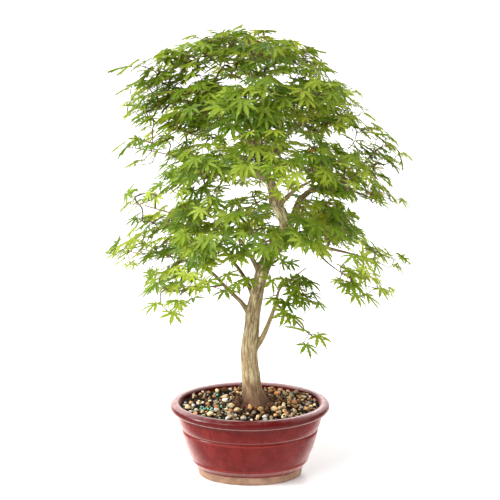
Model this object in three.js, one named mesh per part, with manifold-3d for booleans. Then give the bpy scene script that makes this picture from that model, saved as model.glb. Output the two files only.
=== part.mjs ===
// A maple bonsai in an oval glazed pot: pot, drain screens, soil, gravel, trunk, branches and leaf sprays.
// Millimetres, +Z up. The origin is the middle of the pot's flat foot, and +X runs along the pot's long side.
import * as THREE from "three";
import { mergeVertices } from "three/addons/utils/BufferGeometryUtils.js";
import Module from "manifold-3d";

const wasm = await Module();
wasm.setup();

// ---- driving dimensions ----

const GAP = 0.3; // clearance kept between pieces that touch
const POT_HEIGHT = 124;
const RIM_HALF_LENGTH = 126.5;
const OVAL_OFFSET = 35; // half length less half depth, the same at every height of the pot
const OVAL_INNER_RADIUS = 60; // inside this half length the oval keeps one proportion instead
const POT_SEGMENTS = 44;
const FLOOR_TOP = 10;
const FOOT_TOP = 14; // the clay is left unglazed below this height
const RIM_INNER = 113;

const DRAIN_HOLE_RADIUS = 9;
const DRAIN_HOLE_X = 42;
const SCREEN_SIDE = 36;
const SCREEN_THICKNESS = 1.2;
const SCREEN_HOLES = 3; // holes along each side of the screen

const SOIL_TOP = 110.5;
const GRAVEL_TOP = 117;
const GRAVEL_MOUND = 3; // extra height of the gravel beside the trunk
const GRAVEL_BUMP = 0.8;
const GRAVEL_SEGMENTS = 36;

const LEADER_SIDES = 12;
const BRANCH_SIDES = 6;
const TWIG_SIDES = 5;
const LEADER_STEP = 18; // length of one straight facet along the leader
const BRANCH_STEP = 24; // and along a branch
const TWIG_TIP_RADIUS = 0.9;

const SPRAY_SLOPE = 0.3; // how far a leaf spray falls for each millimetre away from the trunk
const SPRAY_RAGGED = [0.1, 0.07]; // depth of the three large and five small lobes round a spray

// ---- materials ----

function material(color, roughness, metalness = 0) {
  return new THREE.MeshStandardMaterial({ color, roughness, metalness });
}

const GLAZE = material(0x8a3832, 0.25);
const SCREEN_PLASTIC = material(0x26282a, 0.6);
const SOIL_MIX = material(0x2c221a, 0.95);
const STONES = material(0xb79f7c, 0.85);
const BARK = material(0xa98b62, 0.8);
const LEAF = material(0x6f9a2c, 0.5);

// ---- solids, joins and cuts ----

function solidFrom(geometry) {
  const bare = geometry.clone();
  bare.deleteAttribute("normal");
  bare.deleteAttribute("uv");
  const merged = mergeVertices(bare, 1e-4);
  return new wasm.Manifold(
    new wasm.Mesh({
      numProp: 3,
      vertProperties: new Float32Array(merged.attributes.position.array),
      triVerts: new Uint32Array(merged.index.array),
    }),
  );
}

function geometryFrom(solid) {
  const mesh = solid.getMesh();
  const geometry = new THREE.BufferGeometry();
  geometry.setAttribute("position", new THREE.BufferAttribute(mesh.vertProperties, 3));
  geometry.setIndex(new THREE.BufferAttribute(mesh.triVerts, 1));
  geometry.computeVertexNormals();
  return geometry;
}

// A cut can leave a sliver behind, so only the largest body of the result is kept.
function largestBody(solid) {
  return solid.decompose().reduce((best, body) => (body.volume() > best.volume() ? body : best));
}

function node(name, solid, look) {
  const mesh = new THREE.Mesh(geometryFrom(solid), look);
  mesh.name = name;
  return mesh;
}

// ---- pot ----

const at = (radius, height) => new THREE.Vector2(radius, height);

// Half depth of the oval whose half length is given.
function ovalDepth(halfLength) {
  const inner = (OVAL_INNER_RADIUS - OVAL_OFFSET) / OVAL_INNER_RADIUS;
  return halfLength > OVAL_INNER_RADIUS ? halfLength - OVAL_OFFSET : halfLength * inner;
}

// A turned shape squeezed from a circle to the pot's oval. The profile holds half lengths and heights.
function ovalTurning(profile, segments = POT_SEGMENTS) {
  const geometry = new THREE.LatheGeometry(profile, segments);
  geometry.rotateX(Math.PI / 2);
  const position = geometry.attributes.position;
  for (let i = 0; i < position.count; i++) {
    const halfLength = Math.hypot(position.getX(i), position.getY(i));
    const squeeze = halfLength > 0 ? ovalDepth(halfLength) / halfLength : 1;
    position.setY(i, position.getY(i) * squeeze);
  }
  return solidFrom(geometry);
}

// From the middle of the underside out, up over foot, bead, belly, groove, band, neck and rolled rim.
function potOutside() {
  return [
    at(0, 0), at(80.5, 0), at(82.5, 1.5), at(85.5, FOOT_TOP), at(87, 17.5), at(91.5, 23.5), at(93.5, 27),
    at(93.5, 30), at(100, 45), at(105, 60), at(108, 72), at(108.5, 76.5), at(107, 79.5), at(110, 82.5),
    at(113, 91), at(114.5, 101), at(114.5, 107), at(119, 109), at(124.5, 112),
    at(RIM_HALF_LENGTH, 116), at(RIM_HALF_LENGTH, 120.5), at(124.5, POT_HEIGHT),
  ];
}

// Down from the inner edge of the rim to the middle of the floor.
function potInside() {
  return [
    at(RIM_INNER + 1, POT_HEIGHT), at(RIM_INNER, 123), at(110.5, 112), at(107.5, 100), at(101, 76),
    at(93, 48), at(85, 26), at(78, 15), at(72, FLOOR_TOP), at(0, FLOOR_TOP),
  ];
}

// Half length of the pot's hollow at a height.
function hollowAt(height) {
  const inside = potInside();
  const above = inside.findIndex((point) => point.y < height) - 1;
  const [top, bottom] = [inside[above], inside[above + 1]];
  return THREE.MathUtils.mapLinear(height, bottom.y, top.y, bottom.x, top.x);
}

function drainHole(side) {
  const geometry = new THREE.CylinderGeometry(DRAIN_HOLE_RADIUS, DRAIN_HOLE_RADIUS, 4 * FLOOR_TOP, 24);
  geometry.rotateX(Math.PI / 2);
  geometry.translate(side * DRAIN_HOLE_X, 0, 0);
  return solidFrom(geometry);
}

function pot() {
  const body = ovalTurning([...potOutside(), ...potInside()]);
  return body.subtract(drainHole(-1)).subtract(drainHole(1));
}

// A square plate whose middle is over one of the drain holes.
function plateOverHole(side, width, thickness, dx = 0, dy = 0) {
  const geometry = new THREE.BoxGeometry(width, width, thickness);
  geometry.translate(side * DRAIN_HOLE_X + dx, dy, FLOOR_TOP + GAP + SCREEN_THICKNESS / 2);
  return solidFrom(geometry);
}

// A square of plastic mesh that keeps the soil from falling through a drain hole.
function drainScreen(side) {
  const pitch = SCREEN_SIDE / (SCREEN_HOLES + 1);
  let screen = plateOverHole(side, SCREEN_SIDE, SCREEN_THICKNESS);
  for (let row = 1; row <= SCREEN_HOLES; row++) {
    for (let column = 1; column <= SCREEN_HOLES; column++) {
      const [dx, dy] = [row, column].map((place) => place * pitch - SCREEN_SIDE / 2);
      screen = screen.subtract(plateOverHole(side, pitch * 0.6, 3 * SCREEN_THICKNESS, dx, dy));
    }
  }
  return screen;
}

const screenClearance = (side) => plateOverHole(side, SCREEN_SIDE + 2 * GAP, SCREEN_THICKNESS + 2 * GAP);

// ---- soil and gravel ----

function soil(buried) {
  const low = FLOOR_TOP + GAP;
  const wall = [26, 48, 76, 100, SOIL_TOP].map((height) => at(hollowAt(height) - 2 * GAP, height));
  const body = ovalTurning([at(0, low), at(70, low), at(76, 15), ...wall, at(0, SOIL_TOP)]);
  return largestBody(body.subtract(screenClearance(-1)).subtract(screenClearance(1)).subtract(buried));
}

// The top dressing as one bumpy layer: its height rises towards the trunk and ripples with the stones.
function gravelHeight(x, y) {
  const mound = GRAVEL_MOUND * Math.exp(-(x * x + y * y) / 45 ** 2);
  const ripple = Math.sin(x * 0.31 + 1.3) * Math.cos(y * 0.37) + Math.sin(x * 0.17 - y * 0.23);
  return GRAVEL_TOP + mound + GRAVEL_BUMP * ripple * 0.5;
}

function gravelLayer(buried) {
  const low = SOIL_TOP + GAP;
  const rings = [hollowAt(GRAVEL_TOP) - 3 * GAP, 98, 80, 62, 44, 26];
  const bottom = [at(0, low), at(hollowAt(low) - 2 * GAP, low)];
  const top = [...rings, 0].map((halfLength) => at(halfLength, GRAVEL_TOP));
  const geometry = new THREE.LatheGeometry([...bottom, ...top], GRAVEL_SEGMENTS);
  geometry.rotateX(Math.PI / 2);
  const position = geometry.attributes.position;
  for (let i = 0; i < position.count; i++) {
    const halfLength = Math.hypot(position.getX(i), position.getY(i));
    const y = halfLength > 0 ? (position.getY(i) * ovalDepth(halfLength)) / halfLength : 0;
    position.setY(i, y);
    if (position.getZ(i) > low + 1) position.setZ(i, gravelHeight(position.getX(i), y));
  }
  return largestBody(solidFrom(geometry).subtract(buried));
}

// ---- wood ----

// The leader from the buried root crown to the top: x, y, height and radius at each bend.
const LEADER = [
  [8, 0, 94, 20], [9, 0, 108, 25], [9, 0, 117, 22], [8, 0, 126, 17.5], [4, 0, 140, 14.6], [2, 1, 160, 13.8],
  [-1, 3, 192, 12.4], [0, 4, 220, 12], [3, 2, 245, 11], [4, 0, 265, 10.6], [8, -3, 287, 9.9],
  [12, -5, 310, 9.3], [18, -5, 334, 9.4], [26, -3, 355, 9.3], [38, 0, 373, 9], [49, 2, 387, 9],
  [55, 3, 402, 8.8], [49, 4, 424, 8], [39, 4, 442, 7.6], [34, 2, 465, 7], [23, 0, 488, 6.5],
  [14, -1, 510, 6.5], [12, 0, 528, 5.8], [14, 1, 560, 4.8], [19, 2, 596, 3.8], [21, 0, 640, 2.6],
];

// Each branch: its own points from inside the wood that it leaves, the radius where it starts, and the side
// twigs that leave it, each with the number of the point that it leaves from.
const BRANCHES = [
  { name: "branch_low_right", radius: 4.6, twigs: [[3, [62, -42, 276], [92, -58, 252], [120, -66, 246]]],
    points: [[3, 1, 206], [17, -3, 226], [30, -14, 260], [39, -26, 292], [45, -36, 318], [62, -46, 336],
      [84, -54, 356]] },
  { name: "branch_low_left", radius: 5, twigs: [[3, [-72, -44, 322], [-118, -82, 326]]],
    points: [[4, 0, 258], [-12, -5, 286], [-24, -10, 300], [-40, -14, 318], [-62, -14, 340], [-104, -6, 356],
      [-168, 0, 372]] },
  { name: "branch_low_back_left", radius: 4.4, twigs: [[3, [-20, 112, 380], [10, 124, 388]]],
    points: [[8, -3, 290], [-4, 20, 312], [-24, 48, 336], [-52, 78, 360], [-100, 96, 380]] },
  { name: "branch_low_back_right", radius: 4.4, twigs: [],
    points: [[14, -5, 318], [30, 22, 340], [54, 54, 362], [88, 84, 382], [130, 100, 392]] },
  { name: "branch_mid_left", radius: 4.6, twigs: [[3, [-62, -66, 398], [-84, -104, 404]]],
    points: [[17, -5, 330], [0, -8, 364], [-22, -14, 396], [-44, -20, 410], [-92, -24, 424], [-160, 6, 438]] },
  { name: "branch_mid_front", radius: 4, twigs: [[2, [50, -86, 408], [96, -104, 416]]],
    points: [[28, -3, 357], [26, -28, 378], [22, -58, 396], [8, -106, 414]] },
  { name: "branch_low_right_outer", radius: 4.8, twigs: [[2, [116, -52, 362], [148, -86, 346]]],
    points: [[50, 2, 390], [68, -6, 380], [92, -14, 382], [136, -16, 372], [188, -12, 358]] },
  { name: "branch_fork_right", radius: 7,
    twigs: [[3, [136, 58, 470], [126, 100, 468]], [4, [164, 12, 490], [182, 12, 514]]],
    points: [[55, 3, 400], [66, 6, 420], [78, 8, 448], [110, 12, 468], [146, 12, 462], [188, 6, 448]] },
  { name: "branch_mid_right_front", radius: 4.2, twigs: [],
    points: [[42, 4, 436], [64, -12, 462], [88, -38, 482], [114, -74, 504]] },
  { name: "branch_back", radius: 4.4, twigs: [[2, [-40, 88, 478], [-84, 100, 468]]],
    points: [[36, 3, 452], [30, 30, 472], [16, 62, 484], [8, 118, 494]] },
  { name: "branch_high_left", radius: 4.4, twigs: [[2, [-50, -34, 490], [-66, -84, 494]]],
    points: [[26, 1, 480], [-2, 3, 486], [-32, 4, 488], [-80, 6, 506], [-154, 10, 522]] },
  { name: "branch_high_front", radius: 3.6, twigs: [],
    points: [[31, 2, 470], [34, -24, 484], [34, -60, 494], [32, -104, 502]] },
  { name: "branch_crown_right", radius: 4.4,
    twigs: [[2, [78, 48, 556], [84, 94, 566]], [3, [100, -20, 588], [92, -40, 600]]],
    points: [[17, -1, 500], [38, 3, 520], [60, 10, 550], [92, 10, 578], [128, 10, 592]] },
  { name: "branch_crown_left", radius: 4, twigs: [[2, [-48, 48, 566], [-62, 92, 572]]],
    points: [[12, 0, 524], [-10, -4, 546], [-34, -6, 566], [-72, -20, 592], [-138, 4, 606]] },
  { name: "branch_crown_front", radius: 3.2, twigs: [],
    points: [[14, 1, 560], [16, -22, 578], [16, -50, 588], [14, -82, 594]] },
  { name: "branch_crown_back", radius: 3, twigs: [[1, [-34, 16, 640], [-76, 4, 670]]],
    points: [[18, 2, 590], [12, 24, 610], [4, 56, 628], [0, 82, 640]] },
];

// A round limb along a smooth curve, made by bending a cylinder; radiusAt gives its radius from 0 to 1 along.
function limb(points, radiusAt, sides, step = BRANCH_STEP) {
  const curve = new THREE.CatmullRomCurve3(points.map((p) => new THREE.Vector3(...p)));
  const steps = Math.max(2, Math.ceil(curve.getLength() / step));
  const frames = curve.computeFrenetFrames(steps);
  const geometry = new THREE.CylinderGeometry(1, 1, 1, sides, steps);
  const position = geometry.attributes.position;
  const vertex = new THREE.Vector3();
  for (let i = 0; i < position.count; i++) {
    const along = position.getY(i) + 0.5;
    const ring = Math.round(along * steps);
    const radius = radiusAt(along);
    vertex.copy(curve.getPointAt(along));
    vertex.addScaledVector(frames.normals[ring], radius * position.getX(i));
    vertex.addScaledVector(frames.binormals[ring], -radius * position.getZ(i));
    position.setXYZ(i, vertex.x, vertex.y, vertex.z);
  }
  return solidFrom(geometry);
}

// The leader's radius at a height, between the radii given at its bends.
function leaderRadius(height) {
  const above = Math.max(1, LEADER.findIndex((bend) => bend[2] >= height));
  const [low, high] = [LEADER[above - 1], LEADER[above]];
  const share = THREE.MathUtils.clamp((height - low[2]) / (high[2] - low[2]), 0, 1);
  return THREE.MathUtils.lerp(low[3], high[3], share);
}

function leader(extra = 0) {
  const curve = new THREE.CatmullRomCurve3(LEADER.map(([x, y, z]) => new THREE.Vector3(x, y, z)));
  const radiusAt = (along) => leaderRadius(curve.getPointAt(along).z) + extra;
  return limb(LEADER.map((bend) => bend.slice(0, 3)), radiusAt, LEADER_SIDES, LEADER_STEP);
}

// One branch with its twigs. A clearance around it has the same shape, a little fatter and longer.
function branch({ points, radius, twigs }, extra = 0) {
  const taper = (from, to) => (along) => THREE.MathUtils.lerp(from, to, along ** 0.8) + extra;
  let body = limb(points, taper(radius, TWIG_TIP_RADIUS), BRANCH_SIDES);
  for (const [start, ...ends] of twigs) {
    const twig = limb([points[start], ...ends], taper(radius * 0.5, TWIG_TIP_RADIUS), TWIG_SIDES);
    body = body.add(twig);
  }
  return body;
}

// ---- leaf sprays ----

// Each spray: where its middle is, and its half length, half depth and half thickness.
const SPRAYS = {
  foliage_low_shoot: [[106, -64, 245], [42, 26, 16]],
  foliage_inner_right: [[66, -50, 326], [34, 30, 30]],
  foliage_skirt_left_tip: [[-170, 0, 372], [54, 52, 28]],
  foliage_skirt_left: [[-98, -8, 350], [46, 46, 28]],
  foliage_skirt_left_front: [[-122, -88, 326], [50, 44, 26]],
  foliage_skirt_back_left: [[-98, 94, 384], [52, 50, 26]],
  foliage_skirt_back: [[8, 126, 392], [50, 46, 26]],
  foliage_skirt_back_right: [[126, 100, 394], [56, 50, 26]],
  foliage_skirt_right_tip: [[186, -12, 356], [58, 50, 26]],
  foliage_skirt_right_front: [[148, -88, 340], [48, 44, 26]],
  foliage_mid_left_tip: [[-164, 6, 438], [48, 48, 25]],
  foliage_mid_left: [[-88, -22, 424], [46, 46, 25]],
  foliage_mid_left_front: [[-84, -106, 404], [48, 44, 24]],
  foliage_mid_front: [[6, -112, 416], [44, 40, 24]],
  foliage_mid_right_front: [[98, -106, 416], [48, 44, 26]],
  foliage_mid_right: [[112, -8, 424], [42, 46, 26]],
  foliage_mid_right_tip: [[186, 4, 450], [52, 52, 28]],
  foliage_mid_back_left: [[-88, 102, 468], [52, 50, 26]],
  foliage_mid_back: [[12, 128, 496], [52, 48, 28]],
  foliage_mid_back_right: [[122, 104, 472], [56, 50, 28]],
  foliage_high_left_tip: [[-150, 10, 520], [50, 50, 25]],
  foliage_high_left: [[-78, 4, 508], [42, 46, 26]],
  foliage_high_left_front: [[-68, -90, 492], [50, 46, 26]],
  foliage_high_front: [[32, -110, 502], [46, 44, 26]],
  foliage_high_right_front: [[118, -80, 504], [46, 46, 27]],
  foliage_high_right_tip: [[180, 10, 518], [50, 54, 30]],
  foliage_high_back_left: [[-64, 94, 574], [52, 48, 26]],
  foliage_high_back_right: [[90, 98, 568], [56, 50, 28]],
  foliage_crown_left_tip: [[-136, 4, 612], [50, 50, 29]],
  foliage_crown_left: [[-68, -28, 588], [44, 46, 26]],
  foliage_crown_front: [[14, -82, 592], [46, 44, 26]],
  foliage_crown_right: [[92, -44, 598], [44, 46, 28]],
  foliage_crown_right_tip: [[130, 12, 592], [44, 50, 29]],
  foliage_top_left: [[-74, 2, 672], [58, 52, 25]],
  foliage_top: [[18, -14, 676], [46, 48, 25]],
  foliage_top_back: [[2, 80, 652], [54, 44, 24]],
  foliage_top_right: [[72, 6, 652], [48, 52, 27]],
};

// Half width of a spray's ellipsoid along a direction.
function reachAlong([, [length, depth, thickness]], direction) {
  return Math.hypot(length * direction.x, depth * direction.y, thickness * direction.z);
}

// Flat limits that keep a spray apart from every spray that it would meet, half the gap from each limit.
function limitsOf(spray) {
  const limits = [];
  for (const other of Object.values(SPRAYS)) {
    const normal = new THREE.Vector3(...other[0]).sub(new THREE.Vector3(...spray[0]));
    const apart = normal.length();
    if (apart === 0) continue;
    normal.normalize();
    const mine = reachAlong(spray, normal);
    const theirs = reachAlong(other, normal);
    limits.push({ normal, distance: (apart * mine) / (mine + theirs) - GAP });
  }
  return limits;
}

// A ragged flat cushion of leaves that falls away from the trunk.
function spraySolid(spray, number) {
  const [[x, y, z], [length, depth, thickness]] = spray;
  const outward = new THREE.Vector2(x, y).normalize();
  const limits = limitsOf(spray);
  const geometry = new THREE.SphereGeometry(1, 10, 6);
  geometry.rotateX(Math.PI / 2);
  const position = geometry.attributes.position;
  const ray = new THREE.Vector3();
  for (let i = 0; i < position.count; i++) {
    ray.fromBufferAttribute(position, i);
    const turn = Math.atan2(ray.y, ray.x);
    const large = SPRAY_RAGGED[0] * Math.sin(3 * turn + number);
    const small = SPRAY_RAGGED[1] * Math.sin(5 * turn - 2 * number);
    const flat = 1 + (large + small) * Math.hypot(ray.x, ray.y) - SPRAY_RAGGED[0];
    ray.set(ray.x * length * flat, ray.y * depth * flat, ray.z * thickness);
    ray.z -= SPRAY_SLOPE * (ray.x * outward.x + ray.y * outward.y);
    for (const { normal, distance } of limits) {
      const along = ray.dot(normal);
      if (along > distance) ray.multiplyScalar(distance / along);
    }
    position.setXYZ(i, x + ray.x, y + ray.y, z + ray.z);
  }
  return solidFrom(geometry);
}

// ---- assembly ----

const bonsai = new THREE.Group();
const fatLeader = leader(GAP);

bonsai.add(node("pot", pot(), GLAZE));
bonsai.add(node("drain_screen_left", drainScreen(-1), SCREEN_PLASTIC));
bonsai.add(node("drain_screen_right", drainScreen(1), SCREEN_PLASTIC));
bonsai.add(node("soil", soil(fatLeader), SOIL_MIX));
bonsai.add(node("gravel_layer", gravelLayer(fatLeader), STONES));
bonsai.add(node("trunk", leader(), BARK));

let woodClearance = fatLeader;
for (const plan of BRANCHES) {
  bonsai.add(node(plan.name, largestBody(branch(plan).subtract(woodClearance)), BARK));
  woodClearance = woodClearance.add(branch(plan, GAP));
}

Object.entries(SPRAYS).forEach(([name, spray], number) => {
  bonsai.add(node(name, largestBody(spraySolid(spray, number).subtract(woodClearance)), LEAF));
});

export default bonsai;
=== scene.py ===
# %% [markdown]
# # A maple bonsai in an oval glazed pot
#
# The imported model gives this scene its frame: how big everything is and where it stands. On the real
# object the pot is turned and glazed, the trunk and branches grew as one piece of wood, the leaves
# hang on thin twigs in flat sprays, and the pot is topped with loose gravel. The frame holds plain
# solids for all of these. This scene puts the real surfaces in their places.

# %% Load the frame
import math

import bpy
import numpy as np
from mathutils import Matrix, Vector, noise


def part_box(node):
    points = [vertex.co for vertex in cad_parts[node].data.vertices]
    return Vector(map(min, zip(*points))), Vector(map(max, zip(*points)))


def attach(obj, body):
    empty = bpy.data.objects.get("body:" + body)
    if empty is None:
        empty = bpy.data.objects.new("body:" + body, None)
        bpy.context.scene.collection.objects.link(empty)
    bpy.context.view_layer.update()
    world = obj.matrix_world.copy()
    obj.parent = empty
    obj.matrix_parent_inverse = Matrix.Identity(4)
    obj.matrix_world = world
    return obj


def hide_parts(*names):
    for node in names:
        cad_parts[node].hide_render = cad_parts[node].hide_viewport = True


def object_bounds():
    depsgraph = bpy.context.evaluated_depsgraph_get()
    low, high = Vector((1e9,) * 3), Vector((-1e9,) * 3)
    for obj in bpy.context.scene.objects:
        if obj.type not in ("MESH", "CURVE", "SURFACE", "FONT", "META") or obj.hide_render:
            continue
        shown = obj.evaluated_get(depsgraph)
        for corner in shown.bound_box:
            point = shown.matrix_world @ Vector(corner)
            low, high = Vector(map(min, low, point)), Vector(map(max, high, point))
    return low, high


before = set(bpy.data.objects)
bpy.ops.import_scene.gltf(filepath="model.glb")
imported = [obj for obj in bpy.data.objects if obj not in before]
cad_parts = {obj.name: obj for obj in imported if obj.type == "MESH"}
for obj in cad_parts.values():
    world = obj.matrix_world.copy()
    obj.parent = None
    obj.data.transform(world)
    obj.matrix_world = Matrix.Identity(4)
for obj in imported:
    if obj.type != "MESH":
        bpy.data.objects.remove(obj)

CAD_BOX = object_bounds()
MM = 0.001
NODES = list(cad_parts)
SPRAY_NODES = sorted(name for name in NODES if name.startswith("foliage_"))
BRANCH_NODES = sorted(name for name in NODES if name.startswith("branch_"))
print(len(NODES), "nodes,", len(SPRAY_NODES), "leaf sprays and", len(BRANCH_NODES), "branches")

# %% [markdown]
# ## Camera
#
# The tree is seen from a little above, with a long lens, so that the pot's rim shows as a slim oval.
# A camera could track an empty at the tree. Here it's enough to place it and tilt it, because the
# part's own origin is known.

# %% Camera
CAMERA_DISTANCE = 1.4885
CAMERA_HEIGHT = 0.7254
CAMERA_TILT = math.radians(90 - 13.44)
LENS = 72

camera_data = bpy.data.cameras.new("camera")
camera_data.lens = LENS
camera_data.sensor_width = 36
camera = bpy.data.objects.new("camera", camera_data)
camera.location = (0, -CAMERA_DISTANCE, CAMERA_HEIGHT)
camera.rotation_euler = (CAMERA_TILT, 0, 0)
bpy.context.scene.collection.objects.link(camera)
bpy.context.scene.camera = camera
print("lens", LENS, "mm, tilted down", round(90 - math.degrees(CAMERA_TILT), 2), "degrees")

# %% [markdown]
# ## Building meshes from arrays
#
# Leaves, stones and twigs come in thousands. Adding them one by one with operators would take
# minutes, so each piece is collected as plain arrays of points and faces, and becomes a mesh once.
# Pot, limbs and twigs are all rings of points with a skin over them, so they share one helper.
# A value for each point, such as a leaf's shade, travels with it as a mesh attribute that a
# material can read.


# %% Mesh helpers
class Collector:
    """Gathers many small shapes into one mesh, with named values at its points."""

    def __init__(self):
        self.points, self.faces, self.values, self.count = [], [], {}, 0

    def add(self, points, faces, **values):
        points = np.asarray(points, float)
        self.points.append(points)
        self.faces.extend([tuple(self.count + i for i in face) for face in faces])
        self.count += len(points)
        for name, value in values.items():
            value = np.asarray(value, float)
            if value.ndim == 0 or value.shape == (3,):
                value = np.tile(value, (len(points), 1) if value.ndim else len(points))
            self.values.setdefault(name, []).append(value)

    def build(self, name, smooth=True):
        mesh = bpy.data.meshes.new(name)
        mesh.from_pydata(np.concatenate(self.points).tolist(), [], self.faces)
        for key, parts in self.values.items():
            give_values(mesh, key, np.concatenate(parts))
        mesh.polygons.foreach_set("use_smooth", [smooth] * len(mesh.polygons))
        mesh.update()
        return link(name, mesh)


def link(name, data):
    made = bpy.data.objects.new(name, data)
    bpy.context.scene.collection.objects.link(made)
    return made


def plain_piece(name, points, faces):
    """A piece that is a single shape."""
    parts = Collector()
    parts.add(points, faces)
    return parts.build(name)


def full_turn(count):
    """Even angles once round a circle."""
    return np.linspace(0, 2 * math.pi, count, endpoint=False)


def ring_faces(count, sides):
    """Quads from each ring of points to the next, for a skin that is made of rings."""
    faces = []
    for low in range(0, (count - 1) * sides, sides):
        for i in range(sides):
            j = (i + 1) % sides
            faces.append((low + i, low + j, low + sides + j, low + sides + i))
    return faces


def capped_faces(count, sides):
    """The same quads, with a flat face over each end."""
    last = (count - 1) * sides
    return ring_faces(count, sides) + [tuple(range(sides - 1, -1, -1)), tuple(range(last, last + sides))]


def give_values(mesh, name, values):
    values = np.asarray(values, np.float32)
    kind, key = ("FLOAT_VECTOR", "vector") if values.ndim == 2 else ("FLOAT", "value")
    mesh.attributes.new(name, kind, "POINT").data.foreach_set(key, values.ravel())


def points_of(mesh):
    flat = np.empty(len(mesh.vertices) * 3, np.float32)
    mesh.vertices.foreach_get("co", flat)
    return flat.reshape(-1, 3).astype(float)


def unit(v):
    v = np.asarray(v, float)
    return v / max(float(np.linalg.norm(v)), 1e-12)


def give_look(mesh, look):
    mesh.materials.clear()
    mesh.materials.append(look)


def finish_piece(piece, slot, look, *replaced):
    """What every piece of the object needs: a body to ride on, its look, what it stands for. The slot is
    not used.
    """
    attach(piece, "root")
    if replaced:
        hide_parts(*replaced)
    give_look(piece.data, look)
    size = ", ".join(f"{1000 * side:.0f}" for side in piece.dimensions)
    print(f"{piece.name}: {len(piece.data.polygons)} faces, {size} mm")


# %% [markdown]
# ## Shader maths as expressions
#
# A material's colour is worked out from noise, height and the values stored on the mesh. Wiring
# every add and multiply by hand hides the idea, so one small class wraps a socket and lets Python's
# own operators add the Math nodes. A reflected form, as in 1 - mask, has its values the other way
# round. Colours go through Mix nodes instead, because a Math node would turn them grey.


# %% Shader helpers
def maths(operation, reflected=False):
    """A method that adds one Math node, with the values the other way round if it is reflected."""

    def method(self, *others):
        values = (*others, self) if reflected else (self, *others)
        return self.look.node("ShaderNodeMath", {"operation": operation}, dict(enumerate(values)))

    return method


class Wire:
    """A node's output. Maths on it adds Math nodes to the same material."""

    __add__, __radd__ = maths("ADD"), maths("ADD", True)
    __sub__, __rsub__ = maths("SUBTRACT"), maths("SUBTRACT", True)
    __mul__, __rmul__ = maths("MULTIPLY"), maths("MULTIPLY", True)
    sine, size, most = maths("SINE"), maths("ABSOLUTE"), maths("MAXIMUM")

    def __init__(self, look, socket):
        self.look, self.socket = look, socket

    def step(self, low, high):
        """0 below low, 1 above high and a smooth rise between them. With low above high it falls."""
        if low > high:
            return 1 - self.step(high, low)
        sockets = {"Value": self, "From Min": low, "From Max": high}
        return self.look.node("ShaderNodeMapRange", {"interpolation_type": "SMOOTHSTEP"}, sockets)


class Look:
    """One material, made of the nodes that its methods add."""

    def __init__(self, name, holder=None):
        self.material = holder or bpy.data.materials.new(name)
        self.material.use_nodes = True
        self.tree = self.material.node_tree
        self.tree.nodes.clear()

    def node(self, kind, settings=None, sockets=None, output=0):
        made = self.tree.nodes.new(kind)
        for key, value in (settings or {}).items():
            if key == "stops":
                self.set_stops(made.color_ramp, value)
            else:
                setattr(made, key, value)
        for key, value in (sockets or {}).items():
            if isinstance(value, Wire):
                self.tree.links.new(value.socket, made.inputs[key])
            else:
                made.inputs[key].default_value = value
        return Wire(self, made.outputs[output]) if len(made.outputs) else None

    @staticmethod
    def set_stops(ramp, stops):
        while len(ramp.elements) < len(stops):
            ramp.elements.new(0.5)
        for element, (position, colour) in zip(ramp.elements, stops):
            element.position, element.color = position, (*colour, 1)

    def place(self):
        return self.node("ShaderNodeTexCoord", output="Object")

    def axis(self, place, name):
        return self.node("ShaderNodeSeparateXYZ", None, {0: place}, output=name)

    def stored(self, name, output="Fac"):
        return self.node("ShaderNodeAttribute", {"attribute_name": name}, output=output)

    def stretched(self, place, by):
        return self.node("ShaderNodeVectorMath", {"operation": "MULTIPLY"}, {0: place, 1: by})

    def noise(self, place, scale, detail=4, roughness=0.55):
        sockets = {"Vector": place, "Scale": scale, "Detail": detail, "Roughness": roughness}
        return self.node("ShaderNodeTexNoise", None, sockets)

    def cells(self, place, scale):
        return self.node("ShaderNodeTexVoronoi", None, {"Vector": place, "Scale": scale}, "Distance")

    def ramp(self, value, stops):
        return self.node("ShaderNodeValToRGB", {"stops": stops}, {0: value})

    def mix(self, share, first, second, blend="MIX"):
        """Mixes two colours, each a wire or a plain colour."""
        first, second = (c if isinstance(c, Wire) else (*c, 1) for c in (first, second))
        settings = {"data_type": "RGBA", "blend_type": blend, "clamp_factor": True}
        return self.node("ShaderNodeMix", settings, {0: share, 6: first, 7: second}, output=2)

    def bump(self, height, strength, distance):
        sockets = {"Height": height, "Strength": strength, "Distance": distance}
        return self.node("ShaderNodeBump", None, sockets)

    def surface(self, **sockets):
        """The Principled shader, with its sockets' names written with underscores."""
        named = {key.replace("_", " "): value for key, value in sockets.items()}
        return self.node("ShaderNodeBsdfPrincipled", None, named)

    def blend(self, share, first, second):
        """Part of one shader, the rest of another."""
        return self.node("ShaderNodeMixShader", None, {0: share, 1: first, 2: second})

    def end(self, shader=None, **sockets):
        """Ends the material with a shader, or with the Principled shader that the sockets describe."""
        self.node("ShaderNodeOutputMaterial", None, {"Surface": shader or self.surface(**sockets)})
        return self.material


def srgb(*values):
    """A colour from the usual 0 to 255 values."""
    return tuple(((v / 255 + 0.055) / 1.055) ** 2.4 if v > 10 else v / 3294.6 for v in values)


print("helpers ready")

# %% [markdown]
# ## Pot
#
# The real pot is cast or turned stoneware: an unglazed foot, a bead, a round belly, a fine groove,
# a band, a pinched neck and a rolled rim. Its plan is an oval that keeps the same difference between
# half length and half depth at every height. A lathe modifier gives only circles, so the profile is
# turned here by formula. The corner points are rounded off first, because a fired and glazed edge is
# never sharp.

# %% Pot profile
POT_LOW, POT_HIGH = (np.array(corner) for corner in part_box("pot"))
RIM_HALF = (POT_HIGH[0] - POT_LOW[0]) / 2
POT_TOP = POT_HIGH[2]
OVAL_OFFSET = RIM_HALF - (POT_HIGH[1] - POT_LOW[1]) / 2
OVAL_INNER = 60 * MM
POT_SIDES = 224
FOOT_TOP = 14.5 * MM
RIM_INNER = RIM_HALF - 13.5 * MM

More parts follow.
